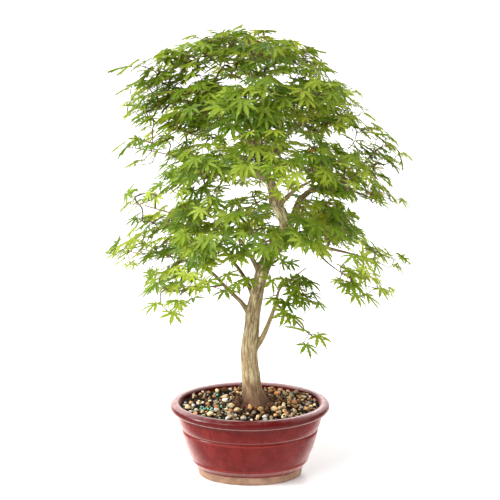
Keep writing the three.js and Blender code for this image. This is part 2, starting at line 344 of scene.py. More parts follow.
# Half length and height in millimetres, then how far each corner is rounded.
POT_OUTSIDE = [
    (0, 0, 0), (80.5, 0, 1), (82.5, 1.5, 1), (85.2, 13.6, 0.8), (85.9, 14.6, 0.6), (87, 17.5, 2),
    (91.5, 23.5, 2), (93.6, 26, 1.2), (93.7, 29.6, 1.2), (96.4, 36, 4), (100.4, 46, 6), (105, 60, 6),
    (107.8, 71, 4), (108.9, 75.8, 1.6), (108.4, 78.2, 1.4), (107.3, 79.6, 1), (108.2, 81.6, 1),
    (110.2, 83.6, 2), (113, 91, 5), (114.6, 100.5, 3), (114.6, 106.4, 1.4), (116.6, 108.4, 2),
    (124.2, 111.2, 2.5), (126.5, 114.8, 2.4), (126.5, 118.4, 2.4), (123.6, 122.2, 3), (118.4, 124, 3),
]
POT_INSIDE = [
    (114.4, 123.8, 1.4), (113, 122.2, 1.6), (110.5, 112, 4), (107.5, 100, 4), (101, 76, 8), (93, 48, 8),
    (85, 26, 8), (78, 15, 3), (72, 10, 3), (0, 10, 0),
]


def rounded(corners, steps=5):
    """Replaces each corner by a short curve that starts and ends the given distance away from it."""
    line = [np.array(corners[0][:2], float)]
    for before, corner, after in zip(corners, corners[1:], corners[2:]):
        point = np.array(corner[:2], float)
        arms = [np.array(other[:2], float) - point for other in (before, after)]
        reach = min([corner[2]] + [0.45 * np.linalg.norm(arm) for arm in arms])
        start, end = (point + unit(arm) * reach for arm in arms)
        for t in np.linspace(0, 1, steps):
            line.append((1 - t) ** 2 * start + 2 * t * (1 - t) * point + t**2 * end)
    line.append(np.array(corners[-1][:2], float))
    return np.array(line)


profile = rounded(POT_OUTSIDE + POT_INSIDE) * MM
print("pot profile:", len(profile), "points, rim half length", round(1000 * RIM_HALF, 1), "mm")


# %% Turn the oval pot
def oval_depth(half_length):
    inner = (OVAL_INNER - OVAL_OFFSET) / OVAL_INNER
    return np.where(half_length > OVAL_INNER, half_length - OVAL_OFFSET, half_length * inner)


def turned_oval(line, sides):
    """Turns a profile of half lengths and heights into a closed oval shape, in quads."""
    turn = full_turn(sides)
    length, height = line[1:-1, 0], line[1:-1, 1]
    depth = oval_depth(length)
    columns = (length, np.cos(turn)), (depth, np.sin(turn)), (height, np.ones(sides))
    rings = np.stack([np.outer(down, across) for down, across in columns], axis=2)
    points = np.concatenate([rings.reshape(-1, 3), [[0, 0, line[0, 1]], [0, 0, line[-1, 1]]]])
    faces = ring_faces(len(length), sides)
    bottom, top, last = len(points) - 2, len(points) - 1, (len(length) - 1) * sides
    faces += [(bottom, (i + 1) % sides, i) for i in range(sides)]
    faces += [(top, last + i, last + (i + 1) % sides) for i in range(sides)]
    return points, faces


DRAIN_X = np.mean(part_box("drain_screen_right"), axis=0)[0]
DRAIN_RADIUS = 9 * MM
DRILL_SIDES = 48
DRILL_SPAN = (-10 * MM, 20 * MM)


def drill(piece, x, radius):
    """Cuts an upright round hole with a Boolean modifier, and applies it."""
    turn = full_turn(DRILL_SIDES)
    ring = np.stack([x + radius * np.cos(turn), radius * np.sin(turn)], axis=1)
    points = [(px, py, z) for z in DRILL_SPAN for px, py in ring]
    tool = plain_piece("drill", points, capped_faces(2, DRILL_SIDES))
    cut = piece.modifiers.new("hole", "BOOLEAN")
    cut.operation, cut.object, cut.solver = "DIFFERENCE", tool, "EXACT"
    apply_modifiers(piece)
    bpy.data.objects.remove(tool)


def apply_modifiers(piece):
    """Puts the result of a piece's modifiers into its own mesh."""
    graph = bpy.context.evaluated_depsgraph_get()
    mesh = bpy.data.meshes.new_from_object(piece.evaluated_get(graph))
    piece.modifiers.clear()
    piece.data = mesh


pot = plain_piece("pot_glazed", *turned_oval(profile, POT_SIDES))
for side in (-1, 1):
    drill(pot, side * DRAIN_X, DRAIN_RADIUS)
print("pot turned, with two drain holes", round(2000 * DRAIN_RADIUS), "mm wide")

# %% [markdown]
# ## Glaze and bare clay
#
# The glaze is a deep red and glossy. It is thinner on every ridge, where it breaks to a paler and
# duller line, and browner in the grooves. The flat of the rim is painted pale pink at the back and
# sides, a painted reflection of the bright air, but not at the front, and the lip below is painted
# the deepest red, as painted shade. A Layer Weight node mixes a pale colour in where the glaze is
# seen edge-on, a painted reflection at the sides. The glaze stops above the foot in a slightly wavy
# line, and the clay below is tan, matt and faintly gritty. Both are one material, mixed by height,
# because the real boundary is only a line in one surface.

# %% Glaze material
GLAZE_RED = srgb(112, 24, 20)
GLAZE_DEEP = srgb(94, 15, 13)
# painted shade: the darkest red of the lip
GLAZE_LIP_SHADE = srgb(76, 5, 5)
GLAZE_PALE = srgb(164, 72, 64)
# painted reflection on the flat of the rim
GLAZE_RIM_REFLECTION = srgb(178, 150, 152)
GLAZE_BROKEN = srgb(82, 36, 32)
GLAZE_EDGE_REFLECTION = srgb(200, 158, 152)  # painted reflection: the pale tint where the glaze is seen edge-on
CLAY = srgb(172, 138, 114)
CLAY_DARK = srgb(136, 102, 78)
# Height and width of each line in metres, and how much paler each ridge is.
GLAZE_RIDGES = ((0.0768, 0.0018, 0.3), (0.0278, 0.002, 0.25), (0.0834, 0.0014, 0.2))
GLAZE_GROOVES = ((0.0797, 0.0012), (0.1058, 0.0030), (0.0155, 0.0015))
GLAZE_SHINE = 0.17


def glaze_look():
    look = Look("red_glaze_over_clay")
    place = look.place()
    height = look.axis(place, "Z")
    drift = look.noise(place, 14, 3)
    cloud = look.noise(look.stretched(place, (1, 1, 0.6)), 70, 5, 0.6)
    speck = look.noise(place, 900, 2)
    colour = look.mix(cloud.step(0.3, 0.7), GLAZE_DEEP, GLAZE_RED)
    colour = look.mix(drift.step(0.45, 0.8) * 0.3, colour, GLAZE_PALE)
    # painted shade: the lip and the rim above it are painted the deepest red
    lip = height.step(POT_TOP - 13 * MM, POT_TOP - 11 * MM)
    colour = look.mix(lip * 0.8, colour, GLAZE_LIP_SHADE)
    flat_rim = height.step(POT_TOP - 4.5 * MM, POT_TOP - 1.5 * MM)
    # painted reflection: the flat of the rim is paled towards the back and sides, not at the front
    rim_reflection_share = look.axis(place, "Y").step(-0.088, -0.03)
    colour = look.mix(flat_rim * (0.04 + 0.58 * rim_reflection_share + 0.4 * (cloud - 0.5)), colour, GLAZE_RIM_REFLECTION)
    worn = 0 * height
    for ridge, width, share in GLAZE_RIDGES:
        line = (height - ridge).size().step(width, 0)
        colour = look.mix(line * share, colour, GLAZE_PALE)
        worn = worn.most(line)
    for groove, width in GLAZE_GROOVES:
        colour = look.mix((height - groove).size().step(width, 0) * 0.6, colour, GLAZE_BROKEN)
    colour = look.mix(speck.step(0.62, 0.8) * 0.25, colour, GLAZE_DEEP)
    grit = look.noise(place, 1400, 3)
    clay = look.mix(look.noise(place, 60, 4).step(0.35, 0.7), CLAY_DARK, CLAY)
    clay = look.mix(grit.step(0.6, 0.75) * 0.35, clay, CLAY_DARK)
    edge = height + (look.noise(place, 26, 2) - 0.5) * 0.005
    bare = edge.step(FOOT_TOP + 0.0008, FOOT_TOP - 0.0002)
    ripple = look.noise(look.stretched(place, (1, 1, 2.2)), 55, 2)
    skin = look.bump(ripple, 0.10, 0.004)
    rough = look.bump(grit, 0.35, 0.0006)
    grazing = look.node("ShaderNodeLayerWeight", None, {"Blend": 0.5}, output="Facing")
    glossy_front = flat_rim * (1 - rim_reflection_share)
    # painted reflection: a pale tint where the glaze is seen edge-on, but not on the front of the rim
    colour = look.mix(grazing.step(0.4, 0.9) * (1 - glossy_front) * 0.72, colour, GLAZE_EDGE_REFLECTION)
    gloss = 0.2 + 0.14 * cloud + 0.3 * worn
    glazed = look.surface(Base_Color=colour, Roughness=gloss, Normal=skin, Specular_IOR_Level=GLAZE_SHINE)
    raw = look.surface(Base_Color=clay, Roughness=0.85, Normal=rough)
    return look.end(look.blend(bare, glazed, raw))


finish_piece(pot, "glazed_pot", glaze_look(), "pot")

# %% [markdown]
# ## Drain screens and soil
#
# These two are hidden under the gravel. Their own solids already have the right shape, so they keep
# it and only get a material: black plastic with a dull moulded sheen, and a dark crumbly mix.


# %% Screen and soil materials
def screen_look():
    look = Look("black_moulded_plastic")
    place = look.place()
    grain = look.noise(place, 700, 3)
    colour = look.mix(grain, srgb(30, 32, 33), srgb(48, 50, 52))
    normal = look.bump(grain, 0.2, 0.0004)
    return look.end(Base_Color=colour, Roughness=0.45 + 0.2 * grain, Normal=normal)


DULL = 0.12  # soil and crushed stones have no shine


def soil_look():
    look = Look("dark_crumbly_soil")
    place = look.place()
    crumb = look.cells(place, 420)
    grain = look.noise(place, 260, 6, 0.7)
    colour = look.ramp(grain, [(0.3, srgb(12, 9, 7)), (0.55, srgb(26, 19, 13)), (0.8, srgb(64, 47, 32))])
    normal = look.bump(grain - crumb * 0.8, 0.9, 0.0015)
    return look.end(Base_Color=colour, Roughness=0.95, Normal=normal, Specular_IOR_Level=DULL)


for name in ("drain_screen_left", "drain_screen_right"):
    give_look(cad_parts[name].data, screen_look())
SOIL_LOOK = soil_look()
give_look(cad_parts["soil"].data, SOIL_LOOK)
print("screens and soil have their looks")

# %% [markdown]
# ## Routes of the trunk and branches
#
# The wood follows the same routes as the solids that it stands for: a list of bends for the leader,
# from the buried root crown to the top, and one for each branch with its side twigs. Curve objects
# could hold these, but the bark and the twigs need the routes as numbers too. A smooth Catmull-Rom
# curve runs through the bends, as a growing stem would.

# %% Routes, in millimetres
# Each bend of the leader has a fourth number, its radius.
LEADER = [
    (8, 0, 94, 20), (9, 0, 108, 25), (9, 0, 117, 22), (8, 0, 126, 17.5), (4, 0, 140, 14.6),
    (2, 1, 160, 13.8), (-1, 3, 192, 12.4), (0, 4, 220, 12), (3, 2, 245, 11), (4, 0, 265, 10.6),
    (8, -3, 287, 9.9), (12, -5, 310, 9.3), (18, -5, 334, 9.4), (26, -3, 355, 9.3), (38, 0, 373, 9),
    (49, 2, 387, 9), (55, 3, 402, 8.8), (49, 4, 424, 8), (39, 4, 442, 7.6), (34, 2, 465, 7),
    (23, 0, 488, 6.5), (14, -1, 510, 6.5), (12, 0, 528, 5.8), (14, 1, 560, 4.8), (19, 2, 596, 3.8),
    (21, 0, 640, 2.6),
]
# Name: radius at the start, bends, and side twigs as (bend that it leaves from, its own bends).
BRANCHES = {
    "low_right": (5.2, [(3, 1, 206), (17, -3, 226), (30, -14, 260), (39, -26, 292), (45, -36, 318),
        (62, -46, 336), (84, -54, 356)], [(3, [(62, -42, 276), (92, -58, 252), (120, -66, 246)])]),
    "low_left": (4.2, [(4, 0, 258), (-12, -5, 286), (-24, -10, 300), (-40, -14, 318), (-62, -14, 340),
        (-104, -6, 356), (-168, 0, 372)], [(3, [(-72, -44, 322), (-118, -82, 326)])]),
    "low_back_left": (4.4, [(8, -3, 290), (-4, 20, 312), (-24, 48, 336), (-52, 78, 360), (-100, 96, 380)],
        [(3, [(-20, 112, 380), (10, 124, 388)])]),
    "low_back_right": (4.4, [(14, -5, 318), (30, 22, 340), (54, 54, 362), (88, 84, 382), (130, 100, 392)],
        []),
    "mid_left": (4, [(17, -5, 330), (0, -8, 364), (-22, -14, 396), (-44, -20, 410), (-92, -24, 424),
        (-160, 6, 438)], [(3, [(-62, -66, 398), (-84, -104, 404)])]),
    "mid_front": (4, [(28, -3, 357), (26, -28, 378), (22, -58, 396), (8, -106, 414)],
        [(2, [(50, -86, 408), (96, -104, 416)])]),
    "low_right_outer": (4.8, [(50, 2, 390), (68, -6, 380), (92, -14, 382), (136, -16, 372),
        (188, -12, 358)], [(2, [(116, -52, 362), (148, -86, 346)])]),
    "fork_right": (7, [(55, 3, 400), (66, 6, 420), (78, 8, 448), (110, 12, 468), (146, 12, 462),
        (188, 6, 448)], [(3, [(136, 58, 470), (126, 100, 468)]), (4, [(164, 12, 490), (182, 12, 514)])]),
    "mid_right_front": (4.2, [(42, 4, 436), (64, -12, 462), (88, -38, 482), (114, -74, 504)], []),
    "back": (4.4, [(36, 3, 452), (30, 30, 472), (16, 62, 484), (8, 118, 494)], [(2, [(-40, 88, 478),
        (-84, 100, 468)])]),
    "high_left": (4.4, [(26, 1, 480), (-2, 3, 486), (-32, 4, 488), (-80, 6, 506), (-154, 10, 522)],
        [(2, [(-50, -34, 490), (-66, -84, 494)])]),
    "high_front": (3.6, [(31, 2, 470), (34, -24, 484), (34, -60, 494), (32, -104, 502)], []),
    "crown_right": (4.4, [(17, -1, 500), (38, 3, 520), (60, 10, 550), (92, 10, 578), (128, 10, 592)],
        [(2, [(78, 48, 556), (84, 94, 566)]), (3, [(100, -20, 588), (92, -40, 600)])]),
    "crown_left": (4, [(12, 0, 524), (-10, -4, 546), (-34, -6, 566), (-72, -20, 592), (-138, 4, 606)],
        [(2, [(-48, 48, 566), (-62, 92, 572)])]),
    "crown_front": (3.2, [(14, 1, 560), (16, -22, 578), (16, -50, 588), (14, -82, 594)], []),
    "crown_back": (3, [(18, 2, 590), (12, 24, 610), (4, 56, 628), (0, 82, 640)], [(1, [(-34, 16, 640),
        (-76, 4, 670)])]),
}
print(len(LEADER), "bends of the leader and", len(BRANCHES), "branches")

# %% Smooth limbs through the bends
TWIG_TIP = 0.9 * MM
ROUTE_STEP = 3  # millimetres between the points of a smooth route
COLLAR_REACH = 9  # millimetres over which a limb swells where it leaves the trunk
SMOOTHING_LOSS = 0.5 * MM  # what remeshing and smoothing take off a limb's radius


def smooth_route(bends, step):
    """Points about one step apart on a Catmull-Rom curve through the bends. Extra columns go along."""
    bends = np.array(bends, float)
    padded = np.vstack([2 * bends[0] - bends[1], bends, 2 * bends[-1] - bends[-2]])
    route = []
    for a, b, c, d in zip(padded, padded[1:], padded[2:], padded[3:]):
        count = max(2, int(np.linalg.norm((c - b)[:3]) / step))
        for t in np.arange(count) / count:
            route.append(0.5 * (2 * b + (c - a) * t + (2 * a - 5 * b + 4 * c - d) * t**2
                                + (3 * b - a - 3 * c + d) * t**3))
    route.append(bends[-1])
    return np.array(route)


def limb_routes():
    """Every stretch of wood as (points, radii), in metres."""
    whole = smooth_route(LEADER, ROUTE_STEP) * MM
    limbs = [(whole[:, :3], whole[:, 3] * 1.04 + SMOOTHING_LOSS)]
    for radius, bends, twigs in BRANCHES.values():
        for start, route in [(radius, bends)] + [(radius * 0.5, [bends[i], *more]) for i, more in twigs]:
            points = smooth_route(route, ROUTE_STEP) * MM
            share = np.linspace(0, 1, len(points))
            radii = start * MM + (TWIG_TIP - start * MM) * share**0.9
            if route is bends:
                radii *= 1 + 0.55 * np.exp(-share * len(points) * ROUTE_STEP / COLLAR_REACH)
            limbs.append((points, radii))
    return limbs


LIMBS = limb_routes()
print(len(LIMBS), "limbs,", sum(len(points) for points, _ in LIMBS), "points along them")


# %% [markdown]
# ## Wood as one grown piece
#
# Tubes that only pass through each other show a hard seam at every fork, which living wood never
# has. So all limbs are first put into one mesh and remeshed by voxels, which melts them together,
# and a few rounds of smoothing leave the round collars of real forks. The bark is then pressed into
# that surface as real relief: long narrow fissures that run along each limb, knots, and a few
# flutes at the root crown.

# %% Tubes
def tube(points, radii, sides):
    """A closed tube along points, with frames carried along the curve so that it doesn't twist."""
    points = np.asarray(points, float)
    ahead = np.gradient(points, axis=0)
    normal = unit(np.cross(ahead[0], (0.3, 1, 0.2)))
    turn = full_turn(sides)
    rings = []
    for point, radius, along in zip(points, radii, ahead):
        along = unit(along)
        normal = unit(normal - along * np.dot(normal, along))
        across = np.cross(along, normal)
        rings.append(point + radius * (np.outer(np.cos(turn), normal) + np.outer(np.sin(turn), across)))
    return np.concatenate(rings), capped_faces(len(points), sides)


WOOD_VOXEL = 1.15 * MM
THINNEST = 1.3 * MM  # anything thinner would be lost between the voxels
LEADER_SIDES, BRANCH_SIDES = 20, 12
wood_parts = Collector()
for number, (points, radii) in enumerate(LIMBS):
    wood_parts.add(*tube(points, np.maximum(radii, THINNEST), BRANCH_SIDES if number else LEADER_SIDES))
wood = wood_parts.build("trunk_and_branches")
remesh = wood.modifiers.new("melt", "REMESH")
remesh.mode, remesh.voxel_size, remesh.use_smooth_shade = "VOXEL", WOOD_VOXEL, True
smoothing = wood.modifiers.new("settle", "SMOOTH")
smoothing.factor, smoothing.iterations = 0.5, 6
apply_modifiers(wood)
print("wood has", len(wood.data.polygons), "faces after melting the limbs together")

# %% Where each point of the wood lies on its limb
POINTS_AT_ONCE = 4000  # the table of distances for all points together would be very large


def run_along(line):
    """How far each point of a line is from its start, along the line."""
    return np.concatenate([[0], np.cumsum(np.linalg.norm(np.diff(line, axis=0), axis=1))])


def wood_coordinates(points):
    """For each point, its place unrolled along the limb that it is nearest to: round, round, along."""
    centres = np.concatenate([p for p, _ in LIMBS])
    radii = np.concatenate([r for _, r in LIMBS])
    ahead = np.concatenate([np.gradient(p, axis=0) for p, _ in LIMBS])
    ahead /= np.linalg.norm(ahead, axis=1)[:, None]
    # How far along the wood each centre is: a branch goes on from its place on the trunk.
    leader = LIMBS[0][0]
    starts = [run_along(leader)[np.linalg.norm(leader - p[0], axis=1).argmin()] for p, _ in LIMBS]
    along = np.concatenate([run_along(p) + start for (p, _), start in zip(LIMBS, starts)])
    out, size = np.empty((len(points), 3)), np.empty(len(points))
    for start in range(0, len(points), POINTS_AT_ONCE):
        chunk = slice(start, start + POINTS_AT_ONCE)
        part = points[chunk]
        gap = np.linalg.norm(part[:, None, :] - centres[None, :, :], axis=2) - radii[None, :]
        best = np.argmin(gap, axis=1)
        offset = part - centres[best]
        forward = (offset * ahead[best]).sum(axis=1)
        offset -= forward[:, None] * ahead[best]
        out[chunk, :2] = offset[:, :2]
        out[chunk, 2] = along[best] + forward
        size[chunk] = radii[best]
    return out, size


# %% Carve the bark
SOIL_LINE = POT_TOP - 6 * MM
BARK_DEPTH = 0.42 * MM


def fissure(place):
    """Height of the bark at a place, from -1 in a fissure to 1 on a ridge: stretched along the limb."""
    x, y, along = place
    wave = noise.noise(Vector((x * 330, y * 330, along * 38)))
    fine = noise.noise(Vector((x * 800, y * 800, along * 120)))
    return 1 - 2.2 * abs(wave) ** 0.7 + 0.5 * fine


def carve_bark(piece):
    points = points_of(piece.data)
    grain, size = wood_coordinates(points)
    normals = np.array([vertex.normal[:] for vertex in piece.data.vertices])
    relief = np.array([fissure(place) for place in grain])
    depth = np.clip(size * 0.035, 0, BARK_DEPTH) * relief
    # Flutes and swellings of the root crown, strongest at the soil line.
    crown = np.exp(-np.abs(points[:, 2] - SOIL_LINE) / (9 * MM))
    turn = np.arctan2(points[:, 1], points[:, 0] - 8 * MM)
    depth += crown * MM * (1.5 * np.sin(turn * 4 + 0.6) + 0.9 * np.sin(turn * 7 + 2))
    points += normals * depth[:, None]
    piece.data.vertices.foreach_set("co", points.astype(np.float32).ravel())
    piece.data.update()
    give_values(piece.data, "grain", grain)
    give_values(piece.data, "thickness", size)
    give_values(piece.data, "relief", relief)


carve_bark(wood)
print("bark carved up to", round(1000 * BARK_DEPTH, 2), "mm deep")

# %% [markdown]
# ## Bark
#
# Young maple bark is cream to tan, with thin olive-brown fissures that run up the stem. It is
# greener on the upper limbs, earthier towards the root crown, and darker brown towards the soil. The
# wood round the upper knot is painted almost black: old wood, with painted shade from the crown over
# it. The stored grain gives noise that is long along each limb, whichever way the limb points.
# The stored relief keeps the dark colour down in the fissures that were carved.

# %% Bark material
BARK_CREAM = srgb(224, 208, 164)
BARK_TAN = srgb(176, 150, 104)
BARK_OLIVE = srgb(80, 66, 38)
BARK_MOSS = srgb(112, 98, 58)
# the dark brown of the flecks and of the bark towards the soil
BARK_DEEP_BROWN = srgb(98, 62, 42)
BARK_EARTHY = srgb(122, 94, 60)
BARK_DARK = srgb(44, 32, 22)
TWIG_BROWN = srgb(120, 84, 62)


def bark_look():
    look = Look("maple_bark")
    place = look.place()
    height = look.axis(place, "Z")
    grain = look.stored("grain", "Vector")
    relief = look.stored("relief")
    thickness = look.stored("thickness")
    streak = look.noise(look.stretched(grain, (1, 1, 0.07)), 680, 5, 0.6)
    patch = look.noise(look.stretched(grain, (1, 1, 0.5)), 90, 5, 0.6)
    fleck = look.noise(place, 900, 4, 0.75)
    colour = look.mix(patch.step(0.38, 0.62), BARK_TAN, BARK_CREAM)
    dark = (streak.step(0.53, 0.42) * 0.78).most(relief.step(-0.1, -0.8) * 0.7)
    colour = look.mix(dark, colour, BARK_OLIVE)
    moss = patch.step(0.44, 0.56) * thickness.step(0.0072, 0.0055) * height.step(0.52, 0.46)
    colour = look.mix(moss * 0.8, colour, BARK_MOSS)
    aged = height.step(0.22, 0.33) * patch.step(0.62, 0.44)
    colour = look.mix(aged * 0.48, colour, BARK_OLIVE)
    colour = look.mix(height.step(0.34, 0.17) * 0.38, colour, BARK_EARTHY)
    colour = look.mix(fleck.step(0.54, 0.66) * 0.55, colour, BARK_DEEP_BROWN)
    # darker brown towards the soil, and darkest at it
    ragged = height + (patch - 0.5) * 0.03
    colour = look.mix(ragged.step(0.178, 0.125) * 0.92, colour, BARK_DEEP_BROWN)
    colour = look.mix(ragged.step(0.13, 0.117) * 0.5, colour, BARK_DARK)
    # Old wood with painted shade over it: the wood round the upper knot is painted almost black.
    knot = (height - 0.504 + (patch - 0.5) * 0.03).size().step(0.026, 0.012) * thickness.step(0.005, 0.006)
    colour = look.mix(knot * 0.85, colour, BARK_DARK)
    colour = look.mix(thickness.step(0.0034, 0.0016) * 0.7, colour, TWIG_BROWN)
    normal = look.bump(streak * 0.7 + fleck * 0.3, 0.55, 0.0012)
    return look.end(Base_Color=colour, Roughness=0.78 + 0.15 * fleck, Normal=normal)


finish_piece(wood, "bark", bark_look(), "trunk", *BRANCH_NODES)

# %% [markdown]
# ## One maple leaf
#
# A leaf of this maple has seven pointed lobes, cut almost to the stalk: one long middle lobe, two
# pairs beside it and a small pair at the base. Each lobe is widest near its middle, toothed, and
# drawn out to a thin tip. The leaf could be cut from a textured card, but then its outline and
# folds would be fake. Here one leaf is a thin sheet of a hundred or so faces: each lobe has a midrib
# and a row of quads on each side. Every point stores how far it is from the rib and the stalk.

# %% Leaf template
LOBE_ANGLES = np.radians([-128, -84, -42, 0, 42, 84, 128])
LOBE_LENGTHS = np.array([0.36, 0.74, 0.94, 1.0, 0.94, 0.74, 0.36])
LOBE_WIDTHS = np.array([0.054, 0.09, 0.108, 0.115, 0.108, 0.09, 0.054])
LOBES = len(LOBE_ANGLES)
SINUS = 0.145  # how far from the stalk the cuts between lobes start
LOBE_STATIONS = 8
# Places along a lobe, and how wide the lobe is there.
WIDTH_ALONG = (
    [0, 0.15, 0.3, 0.45, 0.6, 0.72, 0.84, 0.93, 1], [0.5, 0.74, 0.94, 1, 0.84, 0.6, 0.31, 0.13, 0]
)
TOOTH = 0.2  # depth of the teeth, as a share of the lobe's width


def polar(angle, radius):
    return np.array([math.sin(angle) * radius, math.cos(angle) * radius])


def leaf_template():
    """One flat leaf with its middle lobe along +Y: points, faces, and what each point knows of itself."""
    points, faces, knows = [np.zeros(2)], [], [(0, 0, 3)]  # rib distance, way along, lobe number

    def point(place, rib, along, lobe):
        points.append(place)
        knows.append((rib, along, lobe))
        return len(points) - 1

    half = np.diff(LOBE_ANGLES).mean() / 2
    cuts = []
    for i in range(LOBES + 1):
        near = [LOBE_LENGTHS[j] for j in (i - 1, i) if 0 <= j < LOBES]
        angle = LOBE_ANGLES[i] - half if i < LOBES else LOBE_ANGLES[-1] + half
        cuts.append(point(polar(angle, SINUS * np.mean(near)), 1, 0.1, min(i, LOBES - 1)))
    for lobe, (angle, length, width) in enumerate(zip(LOBE_ANGLES, LOBE_LENGTHS, LOBE_WIDTHS)):
        start = SINUS * length * math.cos(half)
        left, middle, right = [cuts[lobe]], [point(polar(angle, start), 0, start, lobe)], [cuts[lobe + 1]]
        side = polar(angle + math.pi / 2, 1)
        for k in range(1, LOBE_STATIONS):
            share = k / LOBE_STATIONS
            along = start + (length - start) * share
            tooth = 1 + (TOOTH if k % 2 else -TOOTH)
            reach = side * width * np.interp(share, *WIDTH_ALONG) * tooth
            lean = polar(angle, width * 0.16 * (k % 2))
            left.append(point(polar(angle, along) - reach + lean, 1, along, lobe))
            middle.append(point(polar(angle, along), 0, along, lobe))
            right.append(point(polar(angle, along) + reach + lean, 1, along, lobe))
        tip = point(polar(angle, length), 0, length, lobe)
        faces += [(0, middle[0], left[0]), (0, right[0], middle[0])]
        for k in range(LOBE_STATIONS - 1):
            faces.append((left[k], middle[k], middle[k + 1], left[k + 1]))
            faces.append((middle[k], right[k], right[k + 1], middle[k + 1]))
        faces += [(left[-1], middle[-1], tip), (middle[-1], right[-1], tip)]
    return np.array(points), faces, np.array(knows)


LEAF_POINTS, LEAF_FACES, LEAF_KNOWS = leaf_template()
LEAF_RIB, LEAF_ALONG, LEAF_LOBE = LEAF_KNOWS[:, 0], LEAF_KNOWS[:, 1], LEAF_KNOWS[:, 2].astype(int)
print("one leaf:", len(LEAF_POINTS), "points,", len(LEAF_FACES), "faces")


# %% [markdown]
# ## Bending a leaf
#
# No two leaves hang alike. Each lobe droops by its own amount, folds a little along its midrib and
# turns slightly to one side. Bones or a cloth simulation could do that for one leaf. For two
# thousand it is arithmetic on the template's arrays, which takes about a second.

# %% Shaping and placing leaves
def shaped_leaf(rng, size, droop, fold):
    """The template bent into one real leaf, in metres, with its stalk end at the origin."""
    turn = rng.normal(0, 0.06, LOBES)[LEAF_LOBE] * LEAF_ALONG
    x, y = LEAF_POINTS.T
    x, y = x * np.cos(turn) + y * np.sin(turn), y * np.cos(turn) - x * np.sin(turn)
    reach = np.hypot(x, y)
    fall = droop * (1 + rng.normal(0, 0.25, LOBES))[LEAF_LOBE]
    z = fold * LEAF_RIB * 0.1 - fall * reach**2.2 * 0.45
    shorten = 1 - 0.16 * fall * reach
    return np.stack([x * shorten, y * shorten, z], axis=1) * size


def leaf_frame(pointing, facing):
    """Turns a leaf so that its upper side faces one way and its middle lobe points another."""
    up = unit(facing)
    ahead = unit(pointing - np.dot(pointing, up) * up)
    return np.stack([np.cross(ahead, up), ahead, up])


print("leaves can be shaped and turned")

# %% [markdown]
# ## Where the leaves grow
#
# Maples carry their leaves in pairs along fine twigs, and the twigs of one branch spread out in a
# flat spray that slopes down outwards. Random leaves in a cloud would show no such order. So each
# spray gets evenly scattered nodes in and round the space that its solid holds, thinner at its rim,
# and all of them stay inside one ragged dome, apart from a few whips that grow beyond it. Some
# leaves hang alone under the crown and at its edges, and those have places of their own.

# %% How full the crown is
# Nodes that carry a single leaf, under the crown and at its edges.
LONE_LEAVES = np.array([
    (32, -42, 308), (54, -48, 322), (71, -46, 338), (48, -44, 288), (6, -36, 329), (-17, -26, 323),
    (46, -40, 336), (60, -50, 281), (60, -56, 262), (80, -62, 240), (88, -60, 254), (60, -48, 312),
    (-82, -20, 634), (-66, -30, 624), (-50, -26, 630), (-54, -62, 538), (-50, -72, 506), (-142, -20, 572),
    (-142, -30, 530), (-120, -40, 532), (62, -20, 324), (30, -60, 336), (-20, -60, 452), (-104, -20, 320),
    (-80, -44, 322), (-60, -54, 334), (-40, -44, 318), (-86, -30, 300), (-34, -50, 344), (-174, -8, 640),
    (-160, -14, 648), (-148, -30, 646), (-114, -62, 284), (-96, -66, 298), (-134, -50, 300),
    (166, -56, 312), (184, -44, 318), (148, -60, 316),
]) * MM
# How full each spray is, where it isn't 1. The tree is dense in its crown and thin at its tips.
FULLNESS = {
    "low_shoot": 0.06, "inner_right": 0.36, "skirt_left_tip": 0.4, "skirt_left": 1,
    "skirt_left_front": 0.45, "skirt_back_left": 0.8, "skirt_back": 0.9, "skirt_right_tip": 0.3,
    "skirt_right_front": 0.3, "mid_left_tip": 0.25, "mid_left": 0.4, "mid_front": 0.45,
    "mid_right_tip": 0.3, "mid_back_left": 0.5, "mid_back_right": 0.8, "high_left_tip": 0.25,
    "high_left": 0.4, "high_left_front": 0.6, "high_right_tip": 0.5, "high_back_left": 1.3,
    "high_back_right": 1.3, "crown_left_tip": 1.9, "crown_left": 2, "crown_front": 1.5,
    "crown_right": 1.5, "top_left": 1.9, "top": 1.4, "top_back": 1.2,
}
# The dome that the whole crown fills: height, and how far twigs reach left and right at that height.
DOME = np.array([
    (0.20, -0.100, 0.100), (0.30, -0.112, 0.160), (0.36, -0.168, 0.208), (0.42, -0.178, 0.202),
    (0.47, -0.165, 0.205), (0.52, -0.165, 0.195), (0.57, -0.165, 0.170), (0.61, -0.160, 0.140),
    (0.65, -0.150, 0.095), (0.675, -0.095, 0.060), (0.692, -0.040, 0.015),
])
DOME_DEPTH = 0.15
CROWN_WIDTH, CROWN_MIDDLE = 0.2, 0.015  # how far it reaches to the sides, and where its middle is
print("the crown is fullest in", max(FULLNESS, key=FULLNESS.get))

# %% Scatter the nodes of each spray
SEED = 20
NODE_COUNT = 960
TRIES = 30000
NODE_SPACING = 11.5 * MM
SPRAY_SPREAD = np.array([1.12, 1.08, 1.45])  # neighbouring sprays grow into each other
SPRAY_SLOPE = 0.36
WHIP_SHARE = 0.35  # of the outermost nodes, those that carry one more beyond the dome
WHIP_REACH, WHIP_DROP, WHIP_ROOM = (20, 30), (4, 16), 18 * MM  # the two ranges in millimetres
BOX_LOW, BOX_HIGH = np.array(CAD_BOX[0]), np.array(CAD_BOX[1])
EDGE_GAP = 6 * MM  # no node is nearer than this to the sides of the object's box
LEADER_X, LEADER_Z = LIMBS[0][0][:, 0], LIMBS[0][0][:, 2]
LEADER_SHOWS = (0.32, 0.5)  # the heights between which the leader can be seen through the crown
SIGHT_SLOPE = 0.23  # how much a line of sight drops for each metre towards the back


